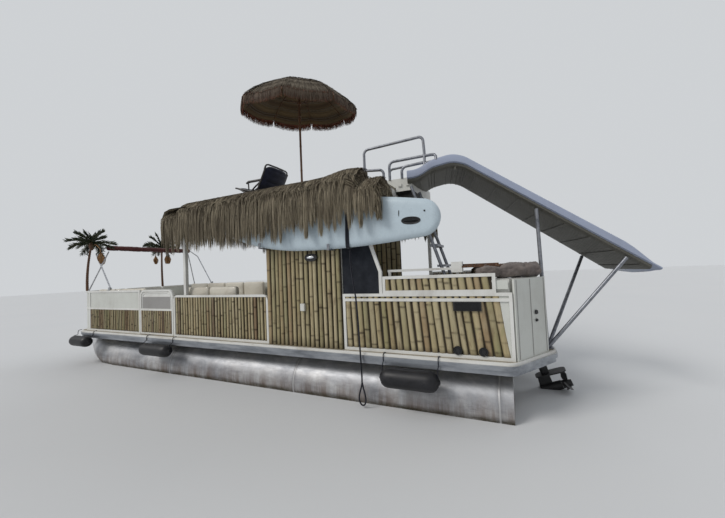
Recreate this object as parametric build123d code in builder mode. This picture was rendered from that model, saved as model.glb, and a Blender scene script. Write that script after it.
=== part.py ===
from build123d import *
import math
import os

os.makedirs("parts", exist_ok=True)

# Pontoon boat with a thatched upper deck and a slide. Millimetres, +X to the bow, +Y to port, +Z up.
# Z is 0 at the keels. Stations are measured forward from the stern corner posts, and at() gives their X.
origin_station = 3465


def at(station):
    return station - origin_station


# Pontoon tubes
tube_radius = 343
tube_spread = 1600
tube_aft = 280
nose_start = 6900
keel_depth = 10
keel_width = 36
strake_reach = 60
tube_y = tube_spread / 2
tube_z = keel_depth + tube_radius
tube_top = tube_z + tube_radius
# Nose rings as (station, radius). Their tops stay level, so the nose rakes up.
nose_rings = [(7300, 318), (7700, 235), (8000, 130), (8150, 50)]

# Deck and the channels under it
deck_half_beam = 1200
deck_aft = -120
deck_fore = 7925
deck_top = 872
deck_thickness = 28
bow_corner_radius = 260
stern_chamfer_station = 250
stern_chamfer_y = 560
well_half_width = 430
well_fore = 1000
member_height = 68
member_width = 38
member_wall = 5
member_pitch = 610
member_first = 1200
member_count = 11
rail_depth = 120
rail_thickness = 20
deck_bottom = deck_top - deck_thickness
member_bottom = deck_bottom - member_height

# Motor pod and outboard
pod_aft = 400
pod_length = 1500
pod_half_width = 300
pod_bottom = 240
transom_thickness = 45
transom_top = 850
pivot_station = 330
pivot_height = 895
rest_tilt = 20
swivel_back = 130
propeller_drop = 725
propeller_radius = 150
propeller_blades = 3
shaft_radius = 12

# Fences
fence_y = 1140
tube_square = 32
fence_gap = 8
fence_height = 650
fore_fence_height = 744
fore_mid_height = 416
upper_row_height = 840
fence_base = deck_top
bow_fence_station = 7837
stern_corner_height = 775
bow_corner = 180
gate_post_y = 410
stern_fence_station = 1066
culm_pitch = 75
culm_depth = 22
panel_backing = 14
slat_pitch = 46

# Cabin
cabin_aft = 2071
cabin_fore = 3196
cabin_inner_y = 190
cabin_wall = 30
door_width = 600
door_height = 1700

# Roof
roof_aft = 1500
roof_fore = 4930
awning_fore = roof_fore + 40
roof_half_width = 1150
roof_top = 2800
roof_panel = 30
beam_height = 80
beam_width = 50
roof_bottom = roof_top - roof_panel - beam_height
thatch_bottom = 2235
thatch_crest = 2965
thatch_reach = 1415

# Slide
slide_yaw = 12
slide_width_top = 840
slide_width_lip = 1050
slide_rim = 95
slide_floor = 25
slide_bend = 300
slide_start_station = 1250
slide_edge_y = 808

running_gap = 6
seat_gap = 0.3


def finish(builder, name):
    """Labels a finished piece and writes its STEP file."""
    builder.part.label = name
    export_step(builder.part, f"parts/{name}.step")


def finish_pair(builder, name):
    """Writes a port piece and its mirror image to starboard."""
    finish(builder, f"{name}_port")
    with BuildPart() as other:
        add(mirror(builder.part, about=Plane.XZ))
    finish(other, f"{name}_starboard")


def finish_both(builder, name):
    """Writes a port piece and its mirror image as one sub-part."""
    with BuildPart() as both:
        add(builder.part)
        add(mirror(builder.part, about=Plane.XZ))
    finish(both, name)


def wall_plane(start, end, height):
    """A plane on a wall's line in plan: X along it, Y up and Z to its inner side."""
    along = Vector(end[0] - start[0], end[1] - start[1], 0).normalized()
    return Plane(
        origin=(start[0], start[1], height),
        x_dir=along,
        z_dir=along.cross(Vector(0, 0, 1)),
    )


def length_between(start, end):
    return math.hypot(end[0] - start[0], end[1] - start[1])


def frame_face(start, end, low, high, mids, corner):
    """The face of a square-tube frame: posts, bottom and top rails and the rails at mids."""
    width = length_between(start, end)
    inner = corner - tube_square if corner > 95 else 0
    with BuildSketch(wall_plane(start, end, low)) as face:
        with Locations((width / 2, (high - low) / 2)):
            Rectangle(width, high - low)
        if corner:
            fillet(face.vertices().group_by(Axis.Y)[-1], corner)
        floors = [0] + [m - low - tube_square / 2 for m in mids]
        roofs = [m - low - tube_square / 2 for m in mids] + [high - low - tube_square]
        for floor, roof in zip(floors, roofs):
            bottom = floor + tube_square
            with BuildSketch(mode=Mode.PRIVATE) as window:
                with Locations((width / 2, (bottom + roof) / 2)):
                    Rectangle(width - 2 * tube_square, roof - bottom)
                if inner and roof == roofs[-1]:
                    fillet(window.vertices().group_by(Axis.Y)[-1], inner)
            add(window.sketch, mode=Mode.SUBTRACT)
    return face.sketch


def culm_face(start, end, height, pitch, depth=culm_depth, backing=panel_backing):
    """The plan of a row of bamboo culms on their backing. They bulge to the left of start to end."""
    width = length_between(start, end)
    count = max(1, round(width / pitch))
    step = width / count
    along = Vector(end[0] - start[0], end[1] - start[1], 0).normalized()
    plane = Plane(origin=(start[0], start[1], height), x_dir=along, z_dir=(0, 0, 1))
    with BuildSketch(plane) as face:
        with BuildLine():
            for i in range(count):
                ThreePointArc(
                    (i * step, backing - depth),
                    ((i + 0.5) * step, backing),
                    ((i + 1) * step, backing - depth),
                )
            Polyline(
                (width, backing - depth),
                (width, -backing),
                (0, -backing),
                (0, backing - depth),
            )
        make_face()
    return face.sketch


hinge_pin = 5
hinge_barrel = 9
hinge_stand_off = 12
hinge_clearance = 0.05
hinge_height = 80


def hinge_fixed(plane):
    """A hinge's fixed half: pin, two barrels and their leaves. Local X points to the moving half."""
    with BuildPart() as half:
        for low in (0, hinge_height - 21.5):
            with BuildSketch(plane.offset(low)):
                Circle(hinge_barrel)
                with Locations((-14, hinge_stand_off / 2 + 1)):
                    Rectangle(28, hinge_stand_off - 2)
            extrude(amount=21.5)
        with BuildSketch(plane):
            Circle(hinge_pin)
        extrude(amount=hinge_height)
    return half.part


def hinge_moving(plane):
    """A hinge's moving half: one barrel round the pin, and its leaf."""
    with BuildPart() as half:
        with BuildSketch(plane.offset(22)):
            Circle(hinge_barrel)
            with Locations((14, hinge_stand_off / 2 + 1)):
                Rectangle(28, hinge_stand_off - 2)
            Circle(hinge_pin + hinge_clearance, mode=Mode.SUBTRACT)
        extrude(amount=hinge_height - 44)
    return half.part


def bar(points, radius, bend=0):
    """A round bar along points, with its corners bent to one radius or mitred."""
    with BuildPart() as piece:
        with BuildLine() as route:
            if bend:
                FilletPolyline(*points, radius=bend)
            else:
                Polyline(*points)
        with BuildSketch(Plane(origin=route.line @ 0, z_dir=route.line % 0)):
            Circle(radius)
        if bend:
            sweep()
        else:
            sweep(transition=Transition.RIGHT)
    return piece.part


# Hull
with BuildPart() as pontoon:
    with BuildSketch(Plane.YZ.offset(at(tube_aft))):
        with Locations((tube_y, tube_z)):
            Circle(tube_radius)
    extrude(amount=nose_start - tube_aft)
    rings = [(nose_start, tube_radius)] + nose_rings
    for (aft_station, aft_radius), (fore_station, fore_radius) in zip(rings, rings[1:]):
        for station, radius in ((aft_station, aft_radius), (fore_station, fore_radius)):
            with BuildSketch(Plane.YZ.offset(at(station))):
                with Locations((tube_y, tube_top - radius)):
                    Circle(radius)
        loft()
    with BuildSketch(Plane.YZ.offset(at(tube_aft + 40))):
        with Locations((tube_y, keel_depth)):
            Rectangle(keel_width, keel_depth * 2)
        for side in (-1, 1):
            angle = math.radians(-25)
            y = tube_y + side * (tube_radius - 15) * math.cos(angle)
            z = tube_z + (tube_radius - 15) * math.sin(angle)
            with Locations((y, z)):
                Polygon(
                    (0, 30),
                    (side * strake_reach, -18),
                    (side * strake_reach, -26),
                    (0, -30),
                    align=None,
                )
        riser = [(-95, -22), (-95, 0), (-45, 22), (-45, 80), (45, 80), (45, 22), (95, 0), (95, -22)]
        riser = [(y, min(z, member_bottom - tube_top)) for y, z in riser]
        with Locations((tube_y, tube_top)):
            Polygon(*riser, align=None)
    extrude(amount=nose_start - tube_aft - 80)
finish_pair(pontoon, "pontoon")

# Channels across the deck, split either side of the motor well
member_stations = [member_first + i * member_pitch for i in range(member_count)]
member_end = deck_half_beam - seat_gap


def channel_face(station, y):
    """The C section of a cross channel, open to the stern."""
    with BuildSketch(Plane.XZ.offset(-y)) as face:
        with Locations((at(station), member_bottom + member_height / 2)):
            Rectangle(member_width, member_height)
        with Locations((at(station) - member_wall, member_bottom + member_height / 2)):
            Rectangle(member_width, member_height - 2 * member_wall, mode=Mode.SUBTRACT)
    return face.sketch


with BuildPart() as cross_members:
    for station in member_stations:
        extrude(channel_face(station, member_end), amount=2 * member_end)
    for station in (well_fore - 520, well_fore - 40):
        for y in (member_end, -well_half_width):
            extrude(channel_face(station, y), amount=member_end - well_half_width)
finish(cross_members, "cross_members")


def deck_outline(grow):
    """The deck's plan, grown outwards, with cut stern corners and round bow corners."""
    y = deck_half_beam + grow
    aft = at(deck_aft) - grow
    fore = at(deck_fore) + grow
    chamfer = at(stern_chamfer_station)
    with BuildSketch(Plane.XY.offset(deck_bottom)) as face:
        Polygon(
            (fore, y),
            (chamfer, y),
            (aft, stern_chamfer_y + grow),
            (aft, -stern_chamfer_y - grow),
            (chamfer, -y),
            (fore, -y),
            align=None,
        )
        fillet(face.vertices().group_by(Axis.X)[-1], bow_corner_radius + grow)
        stern = face.vertices().filter_by_position(Axis.X, aft - 1, chamfer + 1)
        fillet(stern, 120 + grow)
    return face.sketch


with BuildSketch(Plane.XY.offset(deck_bottom)) as well_plan:
    with Locations((at((deck_aft + well_fore) / 2) - 50, 0)):
        Rectangle(well_fore - deck_aft + 100, 2 * well_half_width)

with BuildPart() as deck:
    extrude(deck_outline(0), amount=deck_thickness)
    extrude(well_plan.sketch, amount=deck_thickness, mode=Mode.SUBTRACT)
finish(deck, "deck")

with BuildPart() as rub_rail:
    extrude(deck_outline(rail_thickness), amount=deck_thickness)
    extrude(deck_outline(rail_thickness), amount=deck_thickness - rail_depth)
    extrude(deck_outline(rail_thickness + 14), amount=-45)
    extrude(deck_outline(seat_gap), amount=deck_thickness, mode=Mode.SUBTRACT)
    extrude(deck_outline(seat_gap), amount=-rail_depth, mode=Mode.SUBTRACT)
    with BuildSketch(Plane.XY.offset(deck_bottom - rail_depth)):
        with Locations((at(deck_aft) - 60, 0)):
            Rectangle(200, 2 * well_half_width)
    extrude(amount=2 * rail_depth, mode=Mode.SUBTRACT)
finish(rub_rail, "rub_rail")

# Motor pod between the tubes
with BuildPart() as motor_pod:
    with BuildSketch(Plane.YZ.offset(at(pod_aft))):
        Polygon(
            (-pod_half_width, member_bottom),
            (-pod_half_width, pod_bottom + 120),
            (0, pod_bottom),
            (pod_half_width, pod_bottom + 120),
            (pod_half_width, member_bottom),
            align=None,
        )
    extrude(amount=pod_length)
    with BuildSketch(Plane.YZ.offset(at(pod_aft))):
        with Locations((0, (transom_top + member_bottom - 60) / 2)):
            Rectangle(2 * pod_half_width, transom_top - member_bottom + 60)
    extrude(amount=-transom_thickness)
    for y_sign in (-1, 1):
        with BuildSketch(Plane.XY.offset(member_bottom - 12)):
            with Locations((at(pod_aft + 260), y_sign * (pod_half_width + 80))):
                Rectangle(70, 180)
            with Locations((at(pod_aft + 1200), y_sign * (pod_half_width + 80))):
                Rectangle(70, 180)
        extrude(amount=12)
finish(motor_pod, "motor_pod")

# Outboard, built about its tilt pivot. Local X is forward and local Z runs up its steering axis.
tilt = math.radians(rest_tilt)
pivot = Vector(at(pivot_station), 0, pivot_height)
motor_plane = Plane(
    origin=pivot,
    x_dir=(math.cos(tilt), 0, -math.sin(tilt)),
    z_dir=(math.sin(tilt), 0, math.cos(tilt)),
)
side_plane = Plane(origin=pivot, x_dir=motor_plane.x_dir, z_dir=(0, -1, 0))

with BuildPart() as clamp_bracket:
    for y in (-110, 90):
        with BuildSketch(Plane.XZ.offset(-y - 20)):
            with BuildLine():
                Polyline(
                    (at(pod_aft - transom_thickness - 12), transom_top - 260),
                    (at(pod_aft - transom_thickness) - seat_gap, transom_top - 260),
                    (at(pod_aft - transom_thickness) - seat_gap, transom_top + seat_gap),
                    (at(pod_aft) + seat_gap, transom_top + seat_gap),
                    (at(pod_aft) + seat_gap, transom_top - 70),
                    (at(pod_aft) + 16, transom_top - 70),
                    (at(pod_aft) + 16, transom_top + 18),
                    (at(pivot_station) + 28, pivot_height + 28),
                    (at(pivot_station) - 28, pivot_height + 28),
                    (at(pivot_station) - 28, pivot_height - 30),
                    (at(pod_aft - transom_thickness - 12), transom_top - 260),
                )
            make_face()
        extrude(amount=20)
    with BuildSketch(Plane.XZ.offset(-90)):
        with Locations((at(pivot_station), pivot_height)):
            Circle(12)
    extrude(amount=180)
finish(clamp_bracket, "clamp_bracket")

with BuildPart() as swivel_bracket:
    web_aft = -swivel_back + 8
    with BuildSketch(side_plane.offset(-70)):
        with BuildLine():
            Polyline((web_aft, -330), (web_aft + 22, -330), (30, -24), (30, 24), (web_aft, 60), (web_aft, -330))
        make_face()
        Circle(12 + 0.5, mode=Mode.SUBTRACT)
    extrude(amount=140)
    with BuildSketch(motor_plane.offset(-330)):
        with Locations((-swivel_back, 0)):
            Circle(32)
    extrude(amount=390)
    with BuildSketch(motor_plane.offset(-331)):
        with Locations((-swivel_back, 0)):
            Circle(18.5)
    extrude(amount=392, mode=Mode.SUBTRACT)
finish(swivel_bracket, "swivel_bracket")


def plan_oval(plane, x_aft, x_fore, half_width):
    """A boat-shaped plan on a plane: round in front, fuller behind."""
    with BuildSketch(plane) as face:
        with Locations(((x_aft + x_fore) / 2, 0)):
            RectangleRounded(x_fore - x_aft, 2 * half_width, half_width * 0.72)
    return face.sketch


# Levels of the leg as (height, aft, half width), from the gearcase up
leg_levels = [(-560, -262, 40), (-360, -272, 52), (-120, -285, 62)]
leg_fore = -swivel_back - 40
with BuildPart() as outboard_leg:
    for lower, upper in zip(leg_levels, leg_levels[1:]):
        loft(
            [
                plan_oval(motor_plane.offset(lower[0]), lower[1], leg_fore, lower[2]),
                plan_oval(motor_plane.offset(upper[0]), upper[1], leg_fore, upper[2]),
            ]
        )
    # The strut and skeg run through the gearcase, under the anti-ventilation plate.
    with BuildSketch(side_plane.offset(-13)):
        Polygon(
            (-250, -555),
            (-120, -555),
            (-95, -725),
            (-150, -810),
            (-235, -870),
            (-262, -855),
            (-250, -725),
            align=None,
        )
    extrude(amount=26)
    with BuildSketch(Plane(origin=motor_plane.from_local_coords((-340, 0, -propeller_drop)), z_dir=motor_plane.x_dir)):
        Circle(52)
    extrude(amount=240)
    with BuildSketch(Plane(origin=motor_plane.from_local_coords((-340, 0, -propeller_drop)), z_dir=-motor_plane.x_dir)):
        Circle(shaft_radius)
    extrude(amount=72)
    with BuildSketch(motor_plane.offset(-568)):
        with Locations((-270, 0)):
            RectangleRounded(340, 190, 60)
    extrude(amount=14)
    with BuildSketch(motor_plane.offset(-335)):
        with Locations((-swivel_back, 0)):
            Circle(30)
        with Locations((-swivel_back - 35, 0)):
            Rectangle(50, 50)
    extrude(amount=-50)
    with BuildSketch(motor_plane.offset(-340)):
        with Locations((-swivel_back, 0)):
            Circle(18)
    extrude(amount=425)
    with BuildSketch(motor_plane.offset(62)):
        with Locations((-swivel_back - 75, 0)):
            RectangleRounded(290, 170, 40)
    extrude(amount=26)
    with BuildSketch(motor_plane.offset(-130)):
        with Locations((-swivel_back - 100, 0)):
            RectangleRounded(90, 120, 30)
    extrude(amount=195)
finish(outboard_leg, "outboard_leg")

# Cowl levels as (height, aft, fore, half width)
cowl_levels = [(88.3, -400, 20, 150), (180, -445, 42, 178), (430, -425, 30, 168), (560, -360, -20, 120)]
with BuildPart() as outboard_cowl:
    for lower, upper in zip(cowl_levels, cowl_levels[1:]):
        loft(
            [
                plan_oval(motor_plane.offset(lower[0]), *lower[1:]),
                plan_oval(motor_plane.offset(upper[0]), *upper[1:]),
            ]
        )
finish(outboard_cowl, "outboard_cowl")

shaft_end = motor_plane.from_local_coords((-342, 0, -propeller_drop))
shaft_aft = motor_plane.x_dir * -1
propeller_plane = Plane(origin=shaft_end, x_dir=(0, 1, 0), z_dir=shaft_aft)
blade_pitch = math.radians(32)
# Blade sections as (distance from the shaft, chord, thickness)
blade_sections = [(30, 70, 9), (95, 122, 8), (propeller_radius, 60, 4)]
with BuildPart() as propeller:
    with BuildSketch(propeller_plane):
        Circle(48)
    extrude(amount=105, taper=6)
    with BuildSketch(propeller_plane):
        Circle(shaft_radius + hinge_clearance)
    extrude(amount=75, mode=Mode.SUBTRACT)
    for i in range(propeller_blades):
        turn = 2 * math.pi * i / propeller_blades
        outward = propeller_plane.x_dir * math.cos(turn) + propeller_plane.y_dir * math.sin(turn)
        chord = shaft_aft.cross(outward) * math.cos(blade_pitch) + shaft_aft * math.sin(blade_pitch)
        sections = []
        for reach, width, thickness in blade_sections:
            centre = shaft_end + shaft_aft * 50 + outward * reach
            with BuildSketch(Plane(origin=centre, x_dir=chord, z_dir=outward), mode=Mode.PRIVATE) as section:
                Rectangle(width, thickness)
            sections.append(section.sketch)
        loft(sections, ruled=True)
finish(propeller, "propeller")

# Fences of square tube. Rows are (aft station, fore station, top, rails between, top corner radius).
fence_top = fence_base + fence_height
fore_top = fence_base + fore_fence_height
fore_mid = fence_base + fore_mid_height
gate_aft = 5141
gate_fore = 6011
port_frames = [
    (240, cabin_aft - fence_gap, fence_top, [fence_top - 70], 0),
    (cabin_fore + fence_gap, gate_aft - fence_gap, fence_top, [], 90),
    (gate_fore, bow_fence_station - 240, fore_top, [fore_mid], 0),
]
starboard_frames = [
    (240, 2300, fence_top, [fence_top - 70], 0),
    (2300 + fence_gap, 3700, fence_top, [], 0),
    (3700 + fence_gap, gate_aft - fence_gap, fence_top, [], 90),
    (gate_aft, bow_fence_station - 240, fore_top, [fore_mid], 0),
]


def corner_rails(gate_side_y, side_station):
    """The bow corner: three rails bent round it and the post at the bow gate."""
    pieces = []
    for height in (fence_base + tube_square / 2, fore_mid, fore_top - tube_square / 2):
        with BuildPart() as rail:
            with BuildLine() as route:
                FilletPolyline(
                    (at(side_station), fence_y, height),
                    (at(bow_fence_station), fence_y, height),
                    (at(bow_fence_station), gate_side_y, height),
                    radius=bow_corner,
                )
            with BuildSketch(Plane(origin=route.line @ 0, x_dir=(0, 1, 0), z_dir=(1, 0, 0))):
                Rectangle(tube_square, tube_square)
            sweep()
        pieces.append(rail.part)
    return pieces


def fence_side(frames):
    """One side's frames as separate solids, the foremost joined to the bow corner."""
    with BuildPart() as side:
        for aft, fore, high, mids, corner in frames:
            face = frame_face((at(aft), fence_y), (at(fore), fence_y), fence_base, high, mids, corner)
            extrude(face, amount=tube_square / 2, both=True)
        for rail in corner_rails(gate_post_y, bow_fence_station - 240):
            add(rail)
        with BuildSketch(Plane.XY.offset(fence_base)):
            with Locations((at(bow_fence_station), gate_post_y + tube_square / 2)):
                Rectangle(tube_square, tube_square)
        extrude(amount=fore_fence_height)
    return side


def upper_row_frame():
    """The upper row on the aft fence: its two rails and end posts."""
    start = (at(380), fence_y)
    end = (at(1550), fence_y)
    face = frame_face(start, end, fence_top, fence_base + upper_row_height, [], 0)
    with BuildPart() as row:
        extrude(face, amount=tube_square / 2, both=True)
    return row.part




def infill(rows, pitch):
    """Bamboo between rails. Rows are (aft station, fore station, low, high)."""
    with BuildPart() as walls:
        for aft, fore, low, high in rows:
            clear = tube_square + seat_gap
            face = culm_face((at(aft) + clear, fence_y), (at(fore) - clear, fence_y), low, pitch)
            extrude(face, amount=high - low)
    return walls


def between(low_rail, high_rail):
    return low_rail + tube_square + seat_gap, high_rail - tube_square - seat_gap


def side_rows(frames):
    """The infill rows of a side's low frames, and of the aft fence's upper row."""
    rows = []
    for aft, fore, high, mids, corner in frames:
        if high == fence_top:
            rail_below = high - 70 - tube_square / 2 if mids else high - tube_square
            rows.append((aft, fore, fence_base + tube_square + seat_gap, rail_below - seat_gap))
    upper_low, upper_high = between(fence_top, fence_base + upper_row_height)
    rows.append((380, 1550, upper_low, upper_high))
    return rows


def fore_rows(frames):
    """The fine bamboo under the fore fence's middle rail."""
    low = fence_base + tube_square + seat_gap
    high = fore_mid - tube_square / 2 - seat_gap
    return [(aft, fore, low, high) for aft, fore, top, mids, corner in frames if top == fore_top]


with BuildPart() as starboard_bamboo:
    add(infill(side_rows(starboard_frames), culm_pitch).part)
    add(infill(fore_rows(starboard_frames), slat_pitch).part)

with BuildPart() as bamboo_panels:
    add(infill(side_rows(port_frames), culm_pitch).part)
    add(infill(fore_rows(port_frames), slat_pitch).part)
    add(mirror(starboard_bamboo.part, about=Plane.XZ))
finish(bamboo_panels, "bamboo_panels")

# Vinyl panels above the fore fence's middle rail, on the sides and round to the bow gate
vinyl_low = fore_mid + tube_square / 2 + seat_gap
vinyl_high = fore_top - tube_square - seat_gap
vinyl_thickness = 12
lower_low = fence_base + tube_square + seat_gap
lower_high = fore_mid - tube_square / 2 - seat_gap


def corner_panel(fore, sign, low, high):
    """The vinyl bent round a bow corner, from the side frame to the bow gate's post."""
    with BuildPart() as corner:
        with BuildLine() as route:
            FilletPolyline(
                (at(fore) + seat_gap, sign * fence_y, low),
                (at(bow_fence_station), sign * fence_y, low),
                (at(bow_fence_station), sign * (gate_post_y + tube_square + seat_gap), low),
                radius=bow_corner,
            )
        with BuildSketch(Plane(origin=route.line @ 0, x_dir=(0, 1, 0), z_dir=(1, 0, 0))):
            with Locations((0, (high - low) / 2)):
                Rectangle(vinyl_thickness, high - low)
        sweep()
    return corner.part


with BuildPart() as fore_panels:
    for frames, sign in ((port_frames, 1), (starboard_frames, -1)):
        aft, fore = frames[-1][0], frames[-1][1]
        with BuildSketch(Plane.XY.offset(vinyl_low)):
            with Locations((at((aft + fore) / 2), sign * fence_y)):
                Rectangle(fore - aft - 2 * (tube_square + seat_gap), vinyl_thickness)
        extrude(amount=vinyl_high - vinyl_low)
        for low, high in ((vinyl_low, vinyl_high), (lower_low, lower_high)):
            add(corner_panel(fore, sign, low, high))
finish(fore_panels, "fore_panels")

# Side gate, hinged at its aft post, and bow gate, hinged at its port post. Both swing inwards.
gate_low = fence_base + running_gap
inner_face = fence_y - tube_square / 2
side_hinges = [
    Plane(origin=(at(gate_aft), inner_face - hinge_stand_off, z), x_dir=(1, 0, 0), z_dir=(0, 0, 1))
    for z in (fence_base + 90, fence_base + 520)
]
bow_hinges = [
    Plane(
        origin=(at(bow_fence_station) - tube_square / 2 - hinge_stand_off, gate_post_y - fence_gap / 2, z),
        x_dir=(0, -1, 0),
        z_dir=(0, 0, 1),
    )
    for z in (fence_base + 90, fence_base + 590)
]
with BuildPart() as side_gate:
    face = frame_face(
        (at(gate_aft + fence_gap), fence_y), (at(gate_fore - fence_gap), fence_y), gate_low, fore_top, [fore_mid], 110
    )
    extrude(face, amount=tube_square / 2, both=True)
    with BuildSketch(Plane.XY.offset(fore_mid)):
        with Locations((at((gate_aft + gate_fore) / 2), fence_y)):
            Rectangle(gate_fore - gate_aft - 2 * fence_gap - tube_square, vinyl_thickness)
    extrude(amount=fore_fence_height - fore_mid_height - 40)
    slats = culm_face(
        (at(gate_aft + fence_gap + 20), fence_y), (at(gate_fore - fence_gap - 20), fence_y), gate_low + 20, slat_pitch
    )
    extrude(slats, amount=fore_mid - gate_low - 20)
    for plane in side_hinges:
        add(hinge_moving(plane))
finish(side_gate, "side_gate")

with BuildPart() as bow_gate:
    edge = gate_post_y - fence_gap
    face = frame_face((at(bow_fence_station), edge), (at(bow_fence_station), -edge), gate_low, fore_top, [fore_mid], 60)
    extrude(face, amount=tube_square / 2, both=True)
    with BuildSketch(Plane.XY.offset(gate_low + 20)):
        with Locations((at(bow_fence_station), 0)):
            Rectangle(vinyl_thickness, 2 * edge - tube_square)
    extrude(amount=fore_top - gate_low - 40)
    for plane in bow_hinges:
        add(hinge_moving(plane))
finish(bow_gate, "bow_gate")

with BuildPart() as fences:
    add(fence_side(port_frames).part)
    add(upper_row_frame())
    for plane in side_hinges + bow_hinges:
        add(hinge_fixed(plane))
    add(mirror(fence_side(starboard_frames).part, about=Plane.XZ))
    add(mirror(upper_row_frame(), about=Plane.XZ))
finish(fences, "fences")

# Stern fence ahead of the motor well, and the pale panels on the cut stern corners
with BuildPart() as stern_fence:
    start = (at(stern_fence_station), -well_half_width - 60)
    end = (at(stern_fence_station), well_half_width + 60)
    face = frame_face(start, end, fence_base, fence_top, [], 60)
    extrude(face, amount=tube_square / 2, both=True)
    slats = culm_face((start[0], start[1] + 20), (end[0], end[1] - 20), fence_base + 20, culm_pitch)
    extrude(slats, amount=fence_height - 40)
    for sign in (-1, 1):
        wing_y = sign * (well_half_width + 60)
        ends = [(at(40), wing_y), (at(stern_fence_station - 20), wing_y)]
        if sign < 0:
            ends.reverse()
        wing = frame_face(ends[0], ends[1], fence_base, fence_top, [], 0)
        extrude(wing, amount=tube_square / 2, both=True)
        with BuildSketch(Plane.XY.offset(fence_base + 20)):
            with Locations((at((stern_fence_station + 20) / 2), wing_y)):
                Rectangle(stern_fence_station - 60, vinyl_thickness)
        extrude(amount=fence_height - 40)
finish(stern_fence, "stern_fence")

with BuildPart() as stern_corner:
    with BuildSketch(Plane.XY.offset(deck_top)):
        Polygon(
            (at(220), 1145),
            (at(-71), 643),
            (at(-71), 575),
            (at(-53), 575),
            (at(-53), 637),
            (at(236), 1135),
            align=None,
        )
    extrude(amount=stern_corner_height)
finish_both(stern_corner, "stern_corners")

# Cabin: four walls with a doorway in the inboard one, bamboo outside, and a door
cabin_top = roof_bottom - seat_gap
door_edge = at((cabin_aft + cabin_fore) / 2) - door_width / 2 - running_gap / 2
door_hinges = [
    Plane(origin=(door_edge, cabin_inner_y - hinge_stand_off, z), x_dir=(1, 0, 0), z_dir=(0, 0, 1))
    for z in (deck_top + 250, deck_top + 1350)
]
with BuildPart() as cabin_walls:
    with BuildSketch(Plane.XY.offset(deck_top)):
        centre = (at((cabin_aft + cabin_fore) / 2), (cabin_inner_y + fence_y) / 2)
        size = (cabin_fore - cabin_aft, fence_y - cabin_inner_y)
        with Locations(centre):
            Rectangle(*size)
            Rectangle(size[0] - 2 * cabin_wall, size[1] - 2 * cabin_wall, mode=Mode.SUBTRACT)
    extrude(amount=cabin_top - deck_top)
    with BuildSketch(Plane.XZ.offset(-cabin_inner_y - cabin_wall - 1)):
        with Locations((centre[0], deck_top + door_height / 2)):
            Rectangle(door_width + 2 * running_gap, door_height + 4 * running_gap)
    extrude(amount=cabin_wall + 2, mode=Mode.SUBTRACT)
    for plane in door_hinges:
        add(hinge_fixed(plane))
finish(cabin_walls, "cabin_walls")

cabin_culm_pitch = 96
cabin_culm_depth = 30
cabin_backing = 20
with BuildPart() as cabin_bamboo:
    skin = fence_y + cabin_backing + seat_gap
    tall = cabin_top - deck_top
    ends = ((at(cabin_aft), skin), (at(cabin_fore), skin))
    extrude(culm_face(*ends, deck_top, cabin_culm_pitch, cabin_culm_depth, cabin_backing), amount=tall)
    for station, sign in ((cabin_aft, -1), (cabin_fore, 1)):
        x = at(station) + sign * (cabin_backing + seat_gap)
        ends = [(x, cabin_inner_y), (x, fence_y - tube_square)]
        if sign > 0:
            ends.reverse()
        extrude(culm_face(*ends, deck_top, cabin_culm_pitch, cabin_culm_depth, cabin_backing), amount=tall)
finish(cabin_bamboo, "cabin_bamboo")

with BuildPart() as cabin_door:
    with BuildSketch(Plane.XZ.offset(-cabin_inner_y - cabin_wall)):
        with Locations((centre[0], deck_top + running_gap + door_height / 2)):
            Rectangle(door_width, door_height)
    extrude(amount=cabin_wall)
    for plane in door_hinges:
        add(hinge_moving(plane))
finish(cabin_door, "cabin_door")

# Roof: posts on the deck, a grid of beams, the upper deck and the thatch round it
post_y = fence_y - tube_square / 2 - 4 - beam_width / 2
post_stations = {1: [4900], -1: [1530, 3240, 4900]}
# The bent brace aft of the cabin, as (station, height) up its aft side
brace_points = [(1557, fence_top + seat_gap), (1557, 1765), (1640, 2010), (1880, roof_bottom)]
brace_width = 36
with BuildPart() as roof_posts:
    for sign, stations in post_stations.items():
        for station in stations:
            with BuildSketch(Plane.XY.offset(deck_top)):
                with Locations((at(station), sign * post_y)):
                    Rectangle(beam_width, beam_width)
            extrude(amount=roof_bottom - deck_top)
    with BuildSketch(Plane.XZ.offset(-fence_y - 15)):
        aft_side = [(at(station), height) for station, height in brace_points]
        fore_side = [(x + brace_width, height) for x, height in reversed(aft_side)]
        Polygon(*aft_side, *fore_side, align=None)
    extrude(amount=30)
finish(roof_posts, "roof_posts")

with BuildPart() as roof_frame:
    with BuildSketch(Plane.XY.offset(roof_bottom)):
        with Locations((at((roof_aft + roof_fore) / 2), 0)):
            Rectangle(roof_fore - roof_aft, 2 * roof_half_width)
            Rectangle(roof_fore - roof_aft - 100, 2 * roof_half_width - 100, mode=Mode.SUBTRACT)
        for station in (2350, 3200, 4050):
            with Locations((at(station), 0)):
                Rectangle(beam_width, 2 * roof_half_width - 90)
    extrude(amount=beam_height)
    with BuildSketch(Plane.XY.offset(roof_bottom + 10)):
        for y in (-900, 0, 900):
            with Locations((at((roof_fore + awning_fore) / 2), y)):
                Rectangle(awning_fore - roof_fore, 40)
        with Locations((at(awning_fore), 0)):
            Rectangle(40, 2 * roof_half_width)
    extrude(amount=40)
finish(roof_frame, "roof_frame")

with BuildPart() as upper_deck:
    with BuildSketch(Plane.XY.offset(roof_top - roof_panel)):
        with Locations((at((roof_aft + roof_fore) / 2), 0)):
            Rectangle(roof_fore - roof_aft, 2 * roof_half_width)
    extrude(amount=roof_panel)
finish(upper_deck, "upper_deck")

thatch_aft = 1470
thatch_fore = awning_fore - 320


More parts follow.
